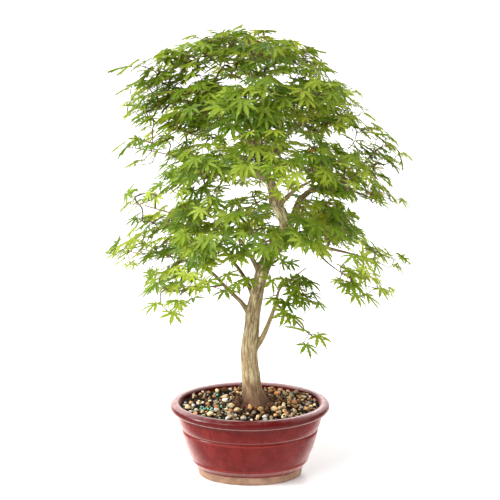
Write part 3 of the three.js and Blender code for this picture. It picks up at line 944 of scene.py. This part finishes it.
def inside_dome(place):
    left, right = (np.interp(place[2], DOME[:, 0], DOME[:, side]) for side in (1, 2))
    across = (place[0] - (left + right) / 2) / ((right - left) / 2)
    ragged = 1 + 0.26 * noise.noise(Vector(place) * 16)
    return math.hypot(across, place[1] / DOME_DEPTH) < ragged and place[2] < DOME[-1, 0]


def hides_leader(place):
    """Whether a node hangs in front of the middle of the leader, where that can be seen."""
    height = place[2] + SIGHT_SLOPE * place[1]
    beside = abs(place[0] - np.interp(height, LEADER_Z, LEADER_X))
    return LEADER_SHOWS[0] < height < LEADER_SHOWS[1] and place[1] < 0.01 and beside < 0.013


def distance(place, places):
    return np.linalg.norm(np.array(places) - place, axis=1).min() if places else math.inf


def all_nodes():
    """Nodes over the whole crown, no two too close, and for each node the spray that it belongs to."""
    rng = np.random.default_rng(SEED)
    boxes = np.array([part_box(name) for name in SPRAY_NODES])
    middles, halves = boxes.mean(axis=1), (boxes[:, 1] - boxes[:, 0]) / 2
    full = np.array([FULLNESS.get(name.removeprefix("foliage_"), 1) for name in SPRAY_NODES])
    share = full * halves.prod(axis=1)
    places, owners = [], []

    def owner_of(place):
        return np.linalg.norm((middles - place) / halves, axis=1).argmin()

    for _ in range(TRIES):
        spray, spot = rng.choice(len(full), p=share / share.sum()), rng.uniform(-1, 1, 3)
        middle, outward = middles[spray], unit((*middles[spray][:2], 0))
        offset = spot * halves[spray] * (SPRAY_SPREAD if full[spray] > 0.35 else 0.8)
        offset[2] -= SPRAY_SLOPE * np.dot(offset, outward)
        place = middle + offset
        thin = rng.random() < 0.5 * np.dot(spot, outward)
        if np.linalg.norm(spot) > 1 or thin or not inside_dome(place) or hides_leader(place):
            continue
        if distance(place, places) < NODE_SPACING:
            continue
        places.append(place)
        owners.append(owner_of(place))
        if len(places) == NODE_COUNT:
            break
    for place, owner in list(zip(places, owners)):
        outward = unit((*place[:2], 0))
        beyond = place + outward * rng.uniform(*WHIP_REACH) * MM - (0, 0, rng.uniform(*WHIP_DROP) * MM)
        away = distance(beyond, places)
        if rng.random() < WHIP_SHARE and away > WHIP_ROOM and not inside_dome(beyond):
            places.append(beyond)
            owners.append(owner)
    places += list(LONE_LEAVES)
    owners += [owner_of(place) for place in LONE_LEAVES]
    return np.clip(places, BOX_LOW + EDGE_GAP, BOX_HIGH - EDGE_GAP), np.array(owners)


NODE_PLACES, NODE_OWNERS = all_nodes()
print(len(NODE_PLACES), "twig nodes in", len(SPRAY_NODES), "sprays")


# %% [markdown]
# ## How the twigs fork
#
# The nodes are joined to the wood by a shortest tree, one nearest node at a time, which is close to
# how twigs fork: each new twig starts at the nearest one that is there already. Every node then
# knows how many others it feeds, and a twig that feeds more is thicker.


# %% Join the nodes to the wood
WOOD_EXTRA = 1.15  # a node rather joins a twig than the wood, if both are about as near
BARE_LEADER = 0.5  # no twig leaves the leader below this height


def wood_anchors():
    """Places on the limbs where a twig may start: the outer part of each branch and the upper leader."""
    places = [LIMBS[0][0][LEADER_Z > BARE_LEADER]]
    for points, _ in LIMBS[1:]:
        places.append(points[len(points) // 4::2])
    return np.concatenate(places)


def grow_twigs():
    """Prim's shortest tree from the wood outwards. Returns each node's parent: a node, or -1 - anchor."""
    anchors = wood_anchors()
    to_wood = np.linalg.norm(NODE_PLACES[:, None] - anchors[None], axis=2)
    best, parent = to_wood.min(axis=1) * WOOD_EXTRA, -1 - to_wood.argmin(axis=1)
    waiting, order = np.ones(len(NODE_PLACES), bool), []
    while waiting.any():
        pick = np.argmin(np.where(waiting, best, np.inf))
        waiting[pick] = False
        order.append(pick)
        reach = np.linalg.norm(NODE_PLACES - NODE_PLACES[pick], axis=1)
        closer = waiting & (reach < best)
        best[closer] = reach[closer]
        parent[closer] = pick
    return anchors, parent, order


ANCHORS, PARENT, GROWTH_ORDER = grow_twigs()
FEEDS = np.ones(len(PARENT), int)
for node in reversed(GROWTH_ORDER):
    if PARENT[node] >= 0:
        FEEDS[PARENT[node]] += FEEDS[node]
TIPS = FEEDS == 1
print(TIPS.sum(), "twig tips, longest chain feeds", FEEDS.max(), "nodes")

# %% [markdown]
# ## Fine twigs
#
# Fine twigs are smooth, red-brown and slightly arched. Each stretch between two nodes is a thin
# tapered tube that leaves in the direction that its parent was going, so that forks look grown.

# %% Twigs
TWIG_SIDES = 5
TWIG_STEPS = 5


def twig_radius(feeds):
    return min(0.7 + 0.26 * (feeds - 1) ** 0.5, 1.9) * MM


def twig_curve(start, end, leaving):
    """A cubic curve that starts along the leaving direction and bends to its end."""
    span = np.linalg.norm(end - start)
    first = start + unit(leaving) * span * 0.36
    second = end - unit(end - first) * span * 0.3 + np.array([0, 0, span * 0.05])
    t = np.linspace(0, 1, TWIG_STEPS + 1)[:, None]
    return (1 - t) ** 3 * start + 3 * (1 - t) ** 2 * t * first + 3 * (1 - t) * t**2 * second + t**3 * end


twig_parts = Collector()
ARRIVING = np.zeros_like(NODE_PLACES)
for node in GROWTH_ORDER:
    up = PARENT[node]
    begin = ANCHORS[-1 - up] if up < 0 else NODE_PLACES[up]
    straight = unit(NODE_PLACES[node] - begin)
    leaving = straight if up < 0 else unit(ARRIVING[up] * 0.7 + straight)
    curve = twig_curve(begin, NODE_PLACES[node], leaving)
    ARRIVING[node] = unit(curve[-1] - curve[-2])
    thick = twig_radius(FEEDS[node] + (1 if up < 0 else 0))
    radii = np.linspace(thick, twig_radius(max(FEEDS[node] - 1, 1)) * 0.85, len(curve))
    twig_parts.add(*tube(curve, radii, TWIG_SIDES), young=1 / FEEDS[node])
print("twigs:", len(twig_parts.faces), "faces")

# %% [markdown]
# ## Leaves and leaf stalks
#
# At each node a pair of leaves faces opposite ways, and most twig tips carry one more. Every leaf
# turns outwards to the light. Near the trunk the blades are almost level, towards the rim of the
# crown they lean out and droop more, and now and then one lies quite differently. Most leaves are
# mid green, older ones inside are darker, and young ones at the tips are yellow-green and smaller. A
# few have started to turn yellow or orange, and two pairs have withered and shrunk.

# %% How leaves differ
LEAF_SIZE = (22 * MM, 27 * MM)  # at the sides and the back, and in front
STALK_LENGTH = 14 * MM
STALK_RADII = np.array([0.42, 0.34, 0.3]) * MM
LEAF_TOSS = (0.12, 0.16, 0.28)  # how unevenly blades lie: most are level with their neighbours
LEAF_TILT = (0.14, 0.66)  # how far blades lean outwards, in radians: near the trunk, and at the rim
YOUNG_SPRAYS = {
    "foliage_crown_right": 0.45, "foliage_skirt_left_front": 0.22, "foliage_high_front": 0.35,
    "foliage_skirt_right_front": 0.12, "foliage_crown_right_tip": 0.25, "foliage_mid_left": 0.2,
}
DRY_PLACES = np.array([(187, -30, 425), (70, -62, 520)]) * MM  # where a withered pair hangs
DRY_NODES = {int(np.linalg.norm(NODE_PLACES - place, axis=1).argmin()) for place in DRY_PLACES}
DRY_SHADE, DRY_SIZE = 1.0, 0.6
FIRST_LONE = len(NODE_PLACES) - len(LONE_LEAVES)
EDGE_ROOM = np.array([0.010, 0.008, 0.006])  # how far leaf tips may pass the CAD box
rng = np.random.default_rng(SEED + 1)
sprays = [Collector() for _ in SPRAY_NODES]
leaf_counts = [0 for _ in SPRAY_NODES]
stalk_parts = Collector()


def how_far_out(place):
    """0 at the trunk and 1 at the rim of the crown."""
    return min(1, math.hypot(place[0] / CROWN_WIDTH, place[1] / DOME_DEPTH))


def leaf_shade(owner, place, tip):
    """0 is dark green, 0.5 mid green, 0.8 yellow-green, 0.95 yellow and 1 orange."""
    young = 0.12 + YOUNG_SPRAYS.get(SPRAY_NODES[owner], 0)
    shade = rng.normal(0.36 + 0.1 * how_far_out(place), 0.2)
    if tip and rng.random() < young * 1.6 or rng.random() < young * 0.4:
        shade = rng.uniform(0.62, 0.86)
    if rng.random() < 0.006:
        shade = rng.uniform(0.93, 1)
    return float(np.clip(shade, 0.02, 1))


print(len(DRY_NODES), "nodes with withered leaves and", len(LONE_LEAVES), "with a single leaf")


# %% Grow the leaves
def add_leaf(owner, node, direction, tip):
    place = NODE_PLACES[node]
    outward = unit((place[0] - CROWN_MIDDLE, place[1], 0))
    pointing = unit(np.array(direction) * 0.8 + outward * 0.75 + rng.normal(0, 0.3, 3))
    shade = leaf_shade(owner, place, tip)
    front = min(1, max(0, -outward[1]))
    size = np.interp(front, (0.2, 0.9), LEAF_SIZE) * rng.uniform(0.78, 1.18)
    size *= 0.75 if shade > 0.6 and tip else 1
    if node >= FIRST_LONE:
        shade, size = min(shade + 0.1, 0.5), max(size, LEAF_SIZE[1] * 1.1)
    if node in DRY_NODES:
        shade, size = DRY_SHADE, size * DRY_SIZE
    length = STALK_LENGTH * rng.uniform(0.6, 1.3)
    rise = rng.uniform(0.05, 0.6)
    end = place + unit((pointing[0], pointing[1], rise)) * length
    tilt = rng.normal(np.interp(how_far_out(place), (0, 1), LEAF_TILT), 0.12)
    facing = outward * math.sin(tilt) + (0, 0, math.cos(tilt))
    facing = facing + rng.normal(0, 1, 3) * rng.choice(LEAF_TOSS)
    body = shaped_leaf(rng, size, rng.uniform(0, 0.45) + 0.25 * front, rng.uniform(0.1, 0.9))
    blade = body @ leaf_frame(pointing, facing)
    low, high = (blade + end).min(axis=0), (blade + end).max(axis=0)
    shift = np.minimum(0, BOX_HIGH + EDGE_ROOM - high) + np.maximum(0, BOX_LOW - EDGE_ROOM - low)
    end = end + shift
    bend = (place + end) / 2 + np.array([0, 0, length * 0.12])
    stalk_parts.add(*tube([place, bend, end], STALK_RADII, 4), young=rng.uniform(0.4, 1))
    sprays[owner].add(blade + end, LEAF_FACES, shade=shade, rib=LEAF_RIB, along=LEAF_ALONG)
    leaf_counts[owner] += 1


def grow_leaves():
    for node, place in enumerate(NODE_PLACES):
        owner = NODE_OWNERS[node]
        if node >= FIRST_LONE:
            add_leaf(owner, node, (0.3, -1, 0), False)
            continue
        ahead = unit((ARRIVING[node][0], ARRIVING[node][1], 0))
        side = np.array([-ahead[1], ahead[0], 0])
        spread = rng.uniform(0.8, 1.3)
        for sign in (-1, 1):
            add_leaf(owner, node, ahead * math.cos(spread) + side * sign * math.sin(spread), TIPS[node])
        if TIPS[node] and rng.random() < 0.75:
            add_leaf(owner, node, ahead + side * rng.normal(0, 0.3), True)


grow_leaves()
print(sum(leaf_counts), "leaves")


# %% [markdown]
# ## Leaf colour
#
# A leaf is thin, so part of the light comes through it and makes it glow yellow-green from behind.
# That's a Translucent shader mixed with the glossy upper surface. The shade stored for each leaf
# picks its green, the stored rib distance draws a pale midrib and side veins, and noise
# gives the slight mottling of a real leaf.

# %% Leaf material
LEAF_SHADES = [
    (0.0, srgb(58, 81, 19)), (0.25, srgb(86, 114, 23)), (0.45, srgb(116, 141, 32)),
    (0.62, srgb(139, 161, 44)), (0.84, srgb(154, 174, 54)), (0.95, srgb(184, 174, 54)),
    (1.0, srgb(181, 92, 42)),
]
VEIN = srgb(176, 204, 110)
LEAF_EDGE = srgb(120, 110, 40)
LEAF_SHINE = 0.28
GLOW_SHARE = 0.42
GLOW_COLOURS = [srgb(118, 150, 16), srgb(204, 206, 70)]


def leaf_look():
    look = Look("maple_leaf")
    place = look.place()
    shade, rib, along = (look.stored(name) for name in ("shade", "rib", "along"))
    mottle = look.noise(place, 160, 3)
    colour = look.ramp(shade + (mottle - 0.5) * 0.16 - along * 0.03, LEAF_SHADES)
    side_veins = (along * 46 - rib * 5).sine().step(0.75, 1) * rib.step(1, 0.1) * 0.22
    veins = (rib.step(0.16, 0.02) * 0.55).most(side_veins)
    colour = look.mix(veins, colour, VEIN)
    colour = look.mix(rib.step(0.82, 1) * 0.18, colour, LEAF_EDGE)
    normal = look.bump(mottle * 0.5 - veins, 0.35, 0.0006)
    rough = 0.34 + 0.2 * mottle
    skin = look.surface(Base_Color=colour, Roughness=rough, Normal=normal, Specular_IOR_Level=LEAF_SHINE)
    glows = [look.node("ShaderNodeBsdfTranslucent", None, {"Color": (*tone, 1)}) for tone in GLOW_COLOURS]
    return look.end(look.blend(GLOW_SHARE, skin, look.blend(shade.step(0.2, 0.9), *glows)))


LEAF_LOOK = leaf_look()


def give_leaf_map(mesh, count):
    """A texture map with one square for each leaf, so that the leaves' colours can be kept in an image."""
    across = math.ceil(math.sqrt(count))
    local = np.stack([LEAF_POINTS[:, 0] * 0.45 + 0.5, LEAF_POINTS[:, 1] * 0.62 + 0.3], axis=1)
    tiles = [((local * 0.9 + 0.05) + (i % across, i // across)) / across for i in range(count)]
    by_point = np.concatenate(tiles)
    corners = np.empty(len(mesh.loops), np.int32)
    mesh.loops.foreach_get("vertex_index", corners)
    mesh.uv_layers.new(name="OFBake").data.foreach_set("uv", by_point[corners].astype(np.float32).ravel())


for name, parts, count in zip(SPRAY_NODES, sprays, leaf_counts):
    spray = parts.build(name.replace("foliage", "leaves"))
    give_leaf_map(spray.data, count)
    finish_piece(spray, "leaf", LEAF_LOOK, name)


# %% Twig and stalk material
def twig_look(name, fresh, old):
    look = Look(name)
    place = look.place()
    grain = look.noise(place, 500, 3)
    young = look.stored("young")
    colour = look.mix((young + (grain - 0.5) * 0.5).step(0.1, 0.9), old, fresh)
    normal = look.bump(grain, 0.3, 0.0004)
    return look.end(Base_Color=colour, Roughness=0.5 + 0.2 * grain, Normal=normal)


TWIG_LOOK = twig_look("young_twig_bark", srgb(112, 62, 50), srgb(104, 84, 60))
STALK_LOOK = twig_look("leaf_stalk", srgb(170, 148, 66), srgb(150, 92, 60))
finish_piece(twig_parts.build("fine_twigs"), "bark", TWIG_LOOK)
finish_piece(stalk_parts.build("leaf_stalks"), "leaf", STALK_LOOK)

# %% [markdown]
# ## Soil bed
#
# Between the stones the dark soil mix shows. Real soil is loose crumbs, but only its surface can be
# seen, so it is one bumpy closed layer from wall to wall, with crumbs of a few millimetres.

# %% Soil bed
BED_TOP = 116 * MM
BED_BOTTOM = 110.9 * MM
HOLLOW = RIM_INNER - 3.2 * MM  # half length of the pot's hollow at the soil
HOLLOW_DEPTH = HOLLOW - OVAL_OFFSET
BED_SIDES, BED_RINGS = 180, 56


def bed_height(x, y):
    lump = noise.noise(Vector((x * 70, y * 70, 3)))
    crumb = noise.noise(Vector((x * 320, y * 320, 9)))
    mound = 2.2 * math.exp(-((x - 0.009) ** 2 + y**2) / 0.035**2)
    return BED_TOP + MM * (0.9 * lump + 0.9 * crumb + mound)


def soil_bed():
    turn = full_turn(BED_SIDES)
    ovals = []
    for share in np.linspace(0.02, 1, BED_RINGS):
        ovals += [(HOLLOW * share * math.cos(a), HOLLOW_DEPTH * share * math.sin(a)) for a in turn]
    points = [(x, y, bed_height(x, y)) for x, y in ovals]
    points += [(x, y, BED_BOTTOM) for x, y in ovals[-BED_SIDES:]]
    faces = [(a, d, c, b) for a, b, c, d in ring_faces(BED_RINGS + 1, BED_SIDES)]
    faces += [tuple(range(BED_SIDES)), tuple(range(len(points) - 1, len(points) - 1 - BED_SIDES, -1))]
    return plain_piece("soil_bed", points, faces)


finish_piece(soil_bed(), "soil", SOIL_LOOK)

# %% [markdown]
# ## Gravel
#
# The top dressing is loose crushed gravel with grains of 5 to 12 mm in cream, tan, orange, grey and
# white, and finer, darker grit between them. A physics drop of so many bodies is slow. The same look
# comes from dropping stones one by one onto a height map: each tries a few places, takes the
# lowest, rests there on the highest thing under it, and then raises the map. A stone is a ball cut
# by a few random planes, which leaves rounded corners between flat broken faces.


# %% Stone shapes
def cube_ball(cuts):
    """A ball of quads: a cut cube pushed out to the sphere."""
    index, points, faces = {}, [], []

    def corner(p):
        key = tuple(np.round(p, 6))
        if key not in index:
            index[key] = len(points)
            points.append(unit(p))
        return index[key]

    steps = np.linspace(-1, 1, cuts + 1)
    for axis in range(3):
        for sign in (-1, 1):
            for a, a2 in zip(steps, steps[1:]):
                for b, b2 in zip(steps, steps[1:]):
                    quad = [(a, b), (a2, b), (a2, b2), (a, b2)][::sign]
                    face = [np.roll((sign, u, v), axis) for u, v in quad]
                    faces.append(tuple(corner(p) for p in face))
    return np.array(points), faces


BALL_POINTS, BALL_FACES = cube_ball(4)
STONE_KINDS = 14
STONE_CUTS = 7


def broken_stone(rng):
    points = BALL_POINTS.copy()
    for _ in range(STONE_CUTS):
        normal, depth = unit(rng.normal(0, 1, 3)), rng.uniform(0.42, 0.78)
        over = np.maximum(points @ normal - depth, 0)
        points -= np.outer(over * 0.92, normal)
    bumps = [noise.noise(Vector(p * 1.7) + Vector(normal * 9)) for p in points]
    points *= (1 + 0.1 * np.array(bumps))[:, None]
    return points * (1, rng.uniform(0.7, 0.95), rng.uniform(0.55, 0.8))


stone_rng = np.random.default_rng(SEED + 2)
STONES = [broken_stone(stone_rng) for _ in range(STONE_KINDS)]
print("a stone has", len(BALL_FACES), "faces, in", STONE_KINDS, "shapes")

# %% The height map
MAP_STEP = 1 * MM
MAP_HALF = (120, 90)  # steps from the middle of the map to its sides
STEPS_X, STEPS_Y = (np.arange(-half, half + 1) * MAP_STEP for half in MAP_HALF)
MAP_X, MAP_Y = np.meshgrid(STEPS_X, STEPS_Y, indexing="ij")
heights = np.full(MAP_X.shape, BED_TOP)
print("height map of", " by ".join(str(side) for side in heights.shape), "squares")

# %% Drop the stones
TRUNK_BASE, TRUNK_ROOM = np.array([0.009, 0]), 0.0165
# Colours, each with the share of the stones that have it.
STONE_COLOURS = [
    (0.28, srgb(244, 218, 172)), (0.18, srgb(214, 176, 122)), (0.15, srgb(230, 164, 110)),
    (0.12, srgb(182, 172, 158)), (0.14, srgb(252, 248, 240)), (0.08, srgb(128, 88, 58)),
    (0.05, srgb(64, 52, 42)),
]
GRIT_COLOURS = [(share, tuple(0.45 * level for level in colour)) for share, colour in STONE_COLOURS]


def spin(rng, tilt):
    """A random turn about the vertical and a limited tilt, as rows of a rotation."""
    turn = Matrix.Rotation(rng.uniform(0, 2 * math.pi), 3, "Z")
    lean = Matrix.Rotation(rng.uniform(-tilt, tilt), 3, "X")
    return np.array(turn @ lean)


def in_pot(x, y, room):
    return (x / (HOLLOW - room)) ** 2 + (y / (HOLLOW_DEPTH - room)) ** 2 < 1


def map_square(x, y):
    """Where a place lies in the height map."""
    return tuple(int(round(v / MAP_STEP)) + half for v, half in zip((x, y), MAP_HALF))


def patch(x, y, radius):
    """The squares of the height map under a stone, and the stone's dome over them."""
    i, j = map_square(x, y)
    n = max(1, math.ceil(radius / MAP_STEP))
    area = np.s_[max(i - n, 0):i + n + 1, max(j - n, 0):j + n + 1]
    away = np.hypot(MAP_X[area] - x, MAP_Y[area] - y) / radius
    return area, np.sqrt(np.clip(1 - away**2, 0, 1))


def resting_height(heights, x, y, radius, rise):
    """How high a stone's middle comes to rest. Broken stones settle a little into each other."""
    area, dome = patch(x, y, radius)
    return np.where(dome > 0.3, heights[area] + rise * dome * 0.8, 0).max()


def free_spot(rng, radius, bias):
    """A random place in the pot, clear of the trunk, likelier where the bias is higher."""
    while True:
        x, y = rng.uniform(-1, 1) * HOLLOW, rng.uniform(-1, 1) * HOLLOW_DEPTH
        clear = np.linalg.norm((x, y) - TRUNK_BASE) > TRUNK_ROOM + radius * 0.6
        if in_pot(x, y, radius) and clear and rng.random() < bias(x, y):
            return x, y


def pour(name, count, sizes, colours, shapes, flat, bias, tries, smooth=False):
    """Drops stones of two sizes and all between, one by one, each at the lowest of a few places."""
    rng = stone_rng
    parts = Collector()
    for _ in range(count):
        radius = (sizes[0] + (sizes[1] - sizes[0]) * rng.random() ** 1.5) * MM
        rise = radius * flat
        spots = [free_spot(rng, radius, bias) for _ in range(tries)]
        z, x, y = min((resting_height(heights, x, y, radius, rise), x, y) for x, y in spots)
        area, dome = patch(x, y, radius)
        heights[area] = np.maximum(heights[area], np.where(dome > 0, z + rise * dome, 0))
        colour = colours[rng.choice(len(colours), p=[share for share, _ in colours])][1]
        tone = np.minimum(np.array(colour) * rng.uniform(0.42, 1.28), 1)
        shape = shapes[rng.integers(len(shapes))] @ spin(rng, 0.5)
        parts.add(shape * radius + (x, y, z), BALL_FACES, tone=tone)
    return parts.build(name, smooth)


def more_in_front(x, y):
    """Stones lie thicker along the front and the right, and the soil shows most on the left."""
    bare = noise.noise(Vector((x * 38, y * 38, 4))) > 0.16
    return (0.5 + 0.5 * min(1, max(0, 0.5 - y / 0.09 + x / 0.16))) * (0.12 if bare else 1)


gravel = pour("gravel_stones", 250, (2.6, 5.8), STONE_COLOURS, STONES, 0.74, more_in_front, 8)
grit = pour("gravel_grit", 480, (0.9, 2.2), GRIT_COLOURS, STONES, 0.74, more_in_front, 3)
print("the stones lie up to", round(1000 * (heights.max() - BED_TOP), 1), "mm over the soil")

# %% [markdown]
# ## Stone surfaces
#
# Crushed stone is matt, mottled and speckled, each stone in its own colour, which is stored on the
# mesh. Down by the soil the stones are painted darker with depth, as painted shade, so the gaps
# between them stay dark. Hardly any shine is left on them.



# %% Stone material
SHADE_BAND = (BED_TOP + 0.8 * MM, BED_TOP + 4.2 * MM)  # painted shade: stones are painted dark below, towards the gaps, and keep their own colour above
# the colour of the painted shade in the gaps
GAP_SHADE = srgb(16, 11, 8)


def stone_look():
    look = Look("crushed_gravel")
    place = look.place()
    tone = look.stored("tone", "Vector")
    mottle = look.noise(place, 380, 5, 0.65)
    speck = look.noise(place, 1500, 2)
    colour = look.mix(mottle.step(0.35, 0.7) * 0.55, tone, srgb(240, 226, 196), "MULTIPLY")
    colour = look.mix(mottle.step(0.62, 0.42) * 0.35, colour, srgb(120, 88, 58))
    colour = look.mix(speck.step(0.6, 0.72) * 0.35, colour, srgb(60, 50, 42))
    # painted shade: darker with depth towards the soil
    low_shade = look.axis(place, "Z").step(SHADE_BAND[1], SHADE_BAND[0])
    colour = look.mix(low_shade * 0.85, colour, GAP_SHADE)
    normal = look.bump(mottle + speck * 0.3, 0.7, 0.0012)
    rough = 0.72 + 0.2 * mottle
    return look.end(Base_Color=colour, Roughness=rough, Normal=normal, Specular_IOR_Level=DULL)


STONE_LOOK = stone_look()
finish_piece(gravel, "gravel", STONE_LOOK, "gravel_layer")
finish_piece(grit, "gravel", STONE_LOOK)

# %% [markdown]
# ## Fertiliser granules
#
# A few dozen smooth teal beads of slow-release fertiliser lie among the stones, most of them left
# of the trunk and in front of it. Their coating is waxy, with a soft sheen.

# %% Granules
GRANULE_COLOURS = [(0.7, srgb(24, 130, 100)), (0.3, srgb(70, 170, 138))]


def near_front_left(x, y):
    return math.exp(-((x + 0.035) ** 2 / 0.05**2 + (y + 0.012) ** 2 / 0.035**2))


def granule_look():
    look = Look("coated_granule")
    place = look.place()
    cloud = look.noise(place, 420, 3)
    tone = look.stored("tone", "Vector")
    colour = look.mix(cloud.step(0.35, 0.7) * 0.6, tone, srgb(190, 226, 206))
    normal = look.bump(cloud, 0.3, 0.0005)
    return look.end(Base_Color=colour, Roughness=0.32 + 0.2 * cloud, Normal=normal)


beads = (1.5, 1.9), GRANULE_COLOURS, [BALL_POINTS]
granules = pour("fertiliser_granules", 38, *beads, 0.95, near_front_left, 3, smooth=True)
finish_piece(granules, "gravel", granule_look())

# %% [markdown]
# ## Bark crumbs
#
# Dark flakes of bark, old leaf and peat gather round the foot of the trunk, mixed with the fibres.
# They could be thin sheets, but at this size they read as crumbs, so they are small flat stones in
# brown, poured in the same way, with the same dull surface.


# %% Bark crumbs
def near_trunk(x, y):
    return math.exp(-((x - TRUNK_BASE[0] + 0.006) ** 2 + y**2) / 0.03**2)


CRUMB_COLOURS = [(0.5, srgb(70, 42, 30)), (0.3, srgb(104, 66, 44)), (0.2, srgb(36, 26, 20))]
crumbs = pour("bark_crumbs", 150, (1.2, 3), CRUMB_COLOURS, STONES, 0.7, near_trunk, 2)
finish_piece(crumbs, "gravel", STONE_LOOK)

# %% [markdown]
# ## Root fibres
#
# Round the base of the trunk the soil is held by a mat of fine surface roots, brown and hair-thin.
# A hair system would have no mesh of its own, so each is a thin tube: it starts on the trunk, arches
# down and runs out among the stones, at the height that the map gives there.


# %% Root fibres
FIBRE_POINTS = 7


def surface_height(x, y):
    i, j = map_square(x, y)
    return heights[np.clip(i, 0, 2 * MAP_HALF[0]), np.clip(j, 0, 2 * MAP_HALF[1])]


def root_fibres(count):
    rng, parts = np.random.default_rng(SEED + 3), Collector()
    for _ in range(count):
        turn, wander = rng.uniform(0, 2 * math.pi), rng.normal(0, 0.5)
        reach = rng.uniform(0.008, 0.026)
        line = []
        for t in np.linspace(0, 1, FIBRE_POINTS):
            radius = TRUNK_ROOM + reach * t
            angle = turn + wander * t * 0.6
            x, y = TRUNK_BASE + radius * np.array([math.cos(angle), math.sin(angle)])
            ground = surface_height(x, y) - 0.0012
            arch = math.sin(math.pi * t) * rng.uniform(0, 0.0022)
            line.append((x, y, max(ground, BED_TOP) * t + (1 - t) * (SOIL_LINE + 0.003) + arch))
        thick = rng.uniform(0.3, 0.75) * MM
        radii = np.linspace(thick, thick * 0.5, FIBRE_POINTS)
        parts.add(*tube(line, radii, 4), young=rng.random())
    return parts.build("root_fibres")


FIBRE_LOOK = twig_look("root_fibre", srgb(74, 40, 26), srgb(128, 84, 54))
finish_piece(root_fibres(280), "bark", FIBRE_LOOK)

# %% [markdown]
# ## Floor, backdrop and light
#
# The tree stands on a plain white studio sweep: a floor that curves up behind it, and reaches so far
# to the other sides that its edge is never seen. The light is soft and comes from all round. Near
# the horizon the air is white on every side, which keeps the backdrop white. Higher up it is darker
# where the camera stands, which gives the glaze its deep middle and its pale sides. Four soft lamps
# shape the tree: the key from the upper left, a brow above the camera, and two weaker ones.

# %% Stage
SWEEP_BACK = 2.4
SWEEP_RADIUS = 0.9
WALL_TOP = 4
FLOOR_REACH = 40


def sweep():
    """A floor that turns up into a wall behind the object."""
    line = [(-FLOOR_REACH, 0)] + [(y, 0) for y in np.linspace(-3, SWEEP_BACK - SWEEP_RADIUS, 6)]
    for angle in np.linspace(0, math.pi / 2, 16)[1:]:
        y = SWEEP_BACK - SWEEP_RADIUS + SWEEP_RADIUS * math.sin(angle)
        line.append((y, SWEEP_RADIUS * (1 - math.cos(angle))))
    line.append((SWEEP_BACK, WALL_TOP))
    points = [(x, y, z) for y, z in line for x in (-FLOOR_REACH, FLOOR_REACH)]
    faces = [(2 * i, 2 * i + 1, 2 * i + 3, 2 * i + 2) for i in range(len(line) - 1)]
    return plain_piece("sweep", points, faces)


def paper_look():
    look = Look("white_paper")
    grain = look.noise(look.place(), 30, 2)
    colour = look.mix(grain, (0.88, 0.88, 0.88), (0.9, 0.9, 0.9))
    return look.end(Base_Color=colour, Roughness=0.9)


floor = sweep()
give_look(floor.data, paper_look())
print("sweep laid out")


# %% Lights
def soft_light(name, place, aim, size, power):
    data = bpy.data.lights.new(name, "AREA")
    data.shape, data.size, data.energy = "DISK", size, power
    light = link(name, data)
    light.location = place
    light.rotation_euler = (Vector(aim) - Vector(place)).to_track_quat("-Z", "Y").to_euler()


def studio_air(strength, front):
    """White light from all round, dimmer high up on the side where the camera stands."""
    world = bpy.data.worlds.new("studio")
    bpy.context.scene.world = world
    look = Look("studio", world)
    direction = look.node("ShaderNodeTexCoord", output="Generated")
    toward = look.axis(direction, "Y") - look.axis(direction, "X") * 0.6
    horizon = look.axis(direction, "Z").step(0.36, 0.2)
    level = toward.step(-0.9, 0.3).most(horizon) * (1 - front) + front
    colour = look.mix(level, (0, 0, 0), (1, 1, 1))
    light = look.node("ShaderNodeBackground", None, {"Color": colour, "Strength": strength})
    look.node("ShaderNodeOutputWorld", None, {"Surface": light})


studio_air(1.12, 0.2)
TREE_MIDDLE = (0, 0, 0.35)
soft_light("key", (-2.1, -0.8, 1.7), TREE_MIDDLE, 0.7, 86)
soft_light("fill", (1.8, -0.8, 1.2), TREE_MIDDLE, 1.2, 14)
soft_light("brow", (-1.1, -1.6, 2.2), (0, 0, 0.45), 0.8, 27)
soft_light("back", (0.3, 1.9, 1.6), TREE_MIDDLE, 1.2, 30)
bpy.context.scene.view_settings.view_transform = "Standard"
print("studio ready")
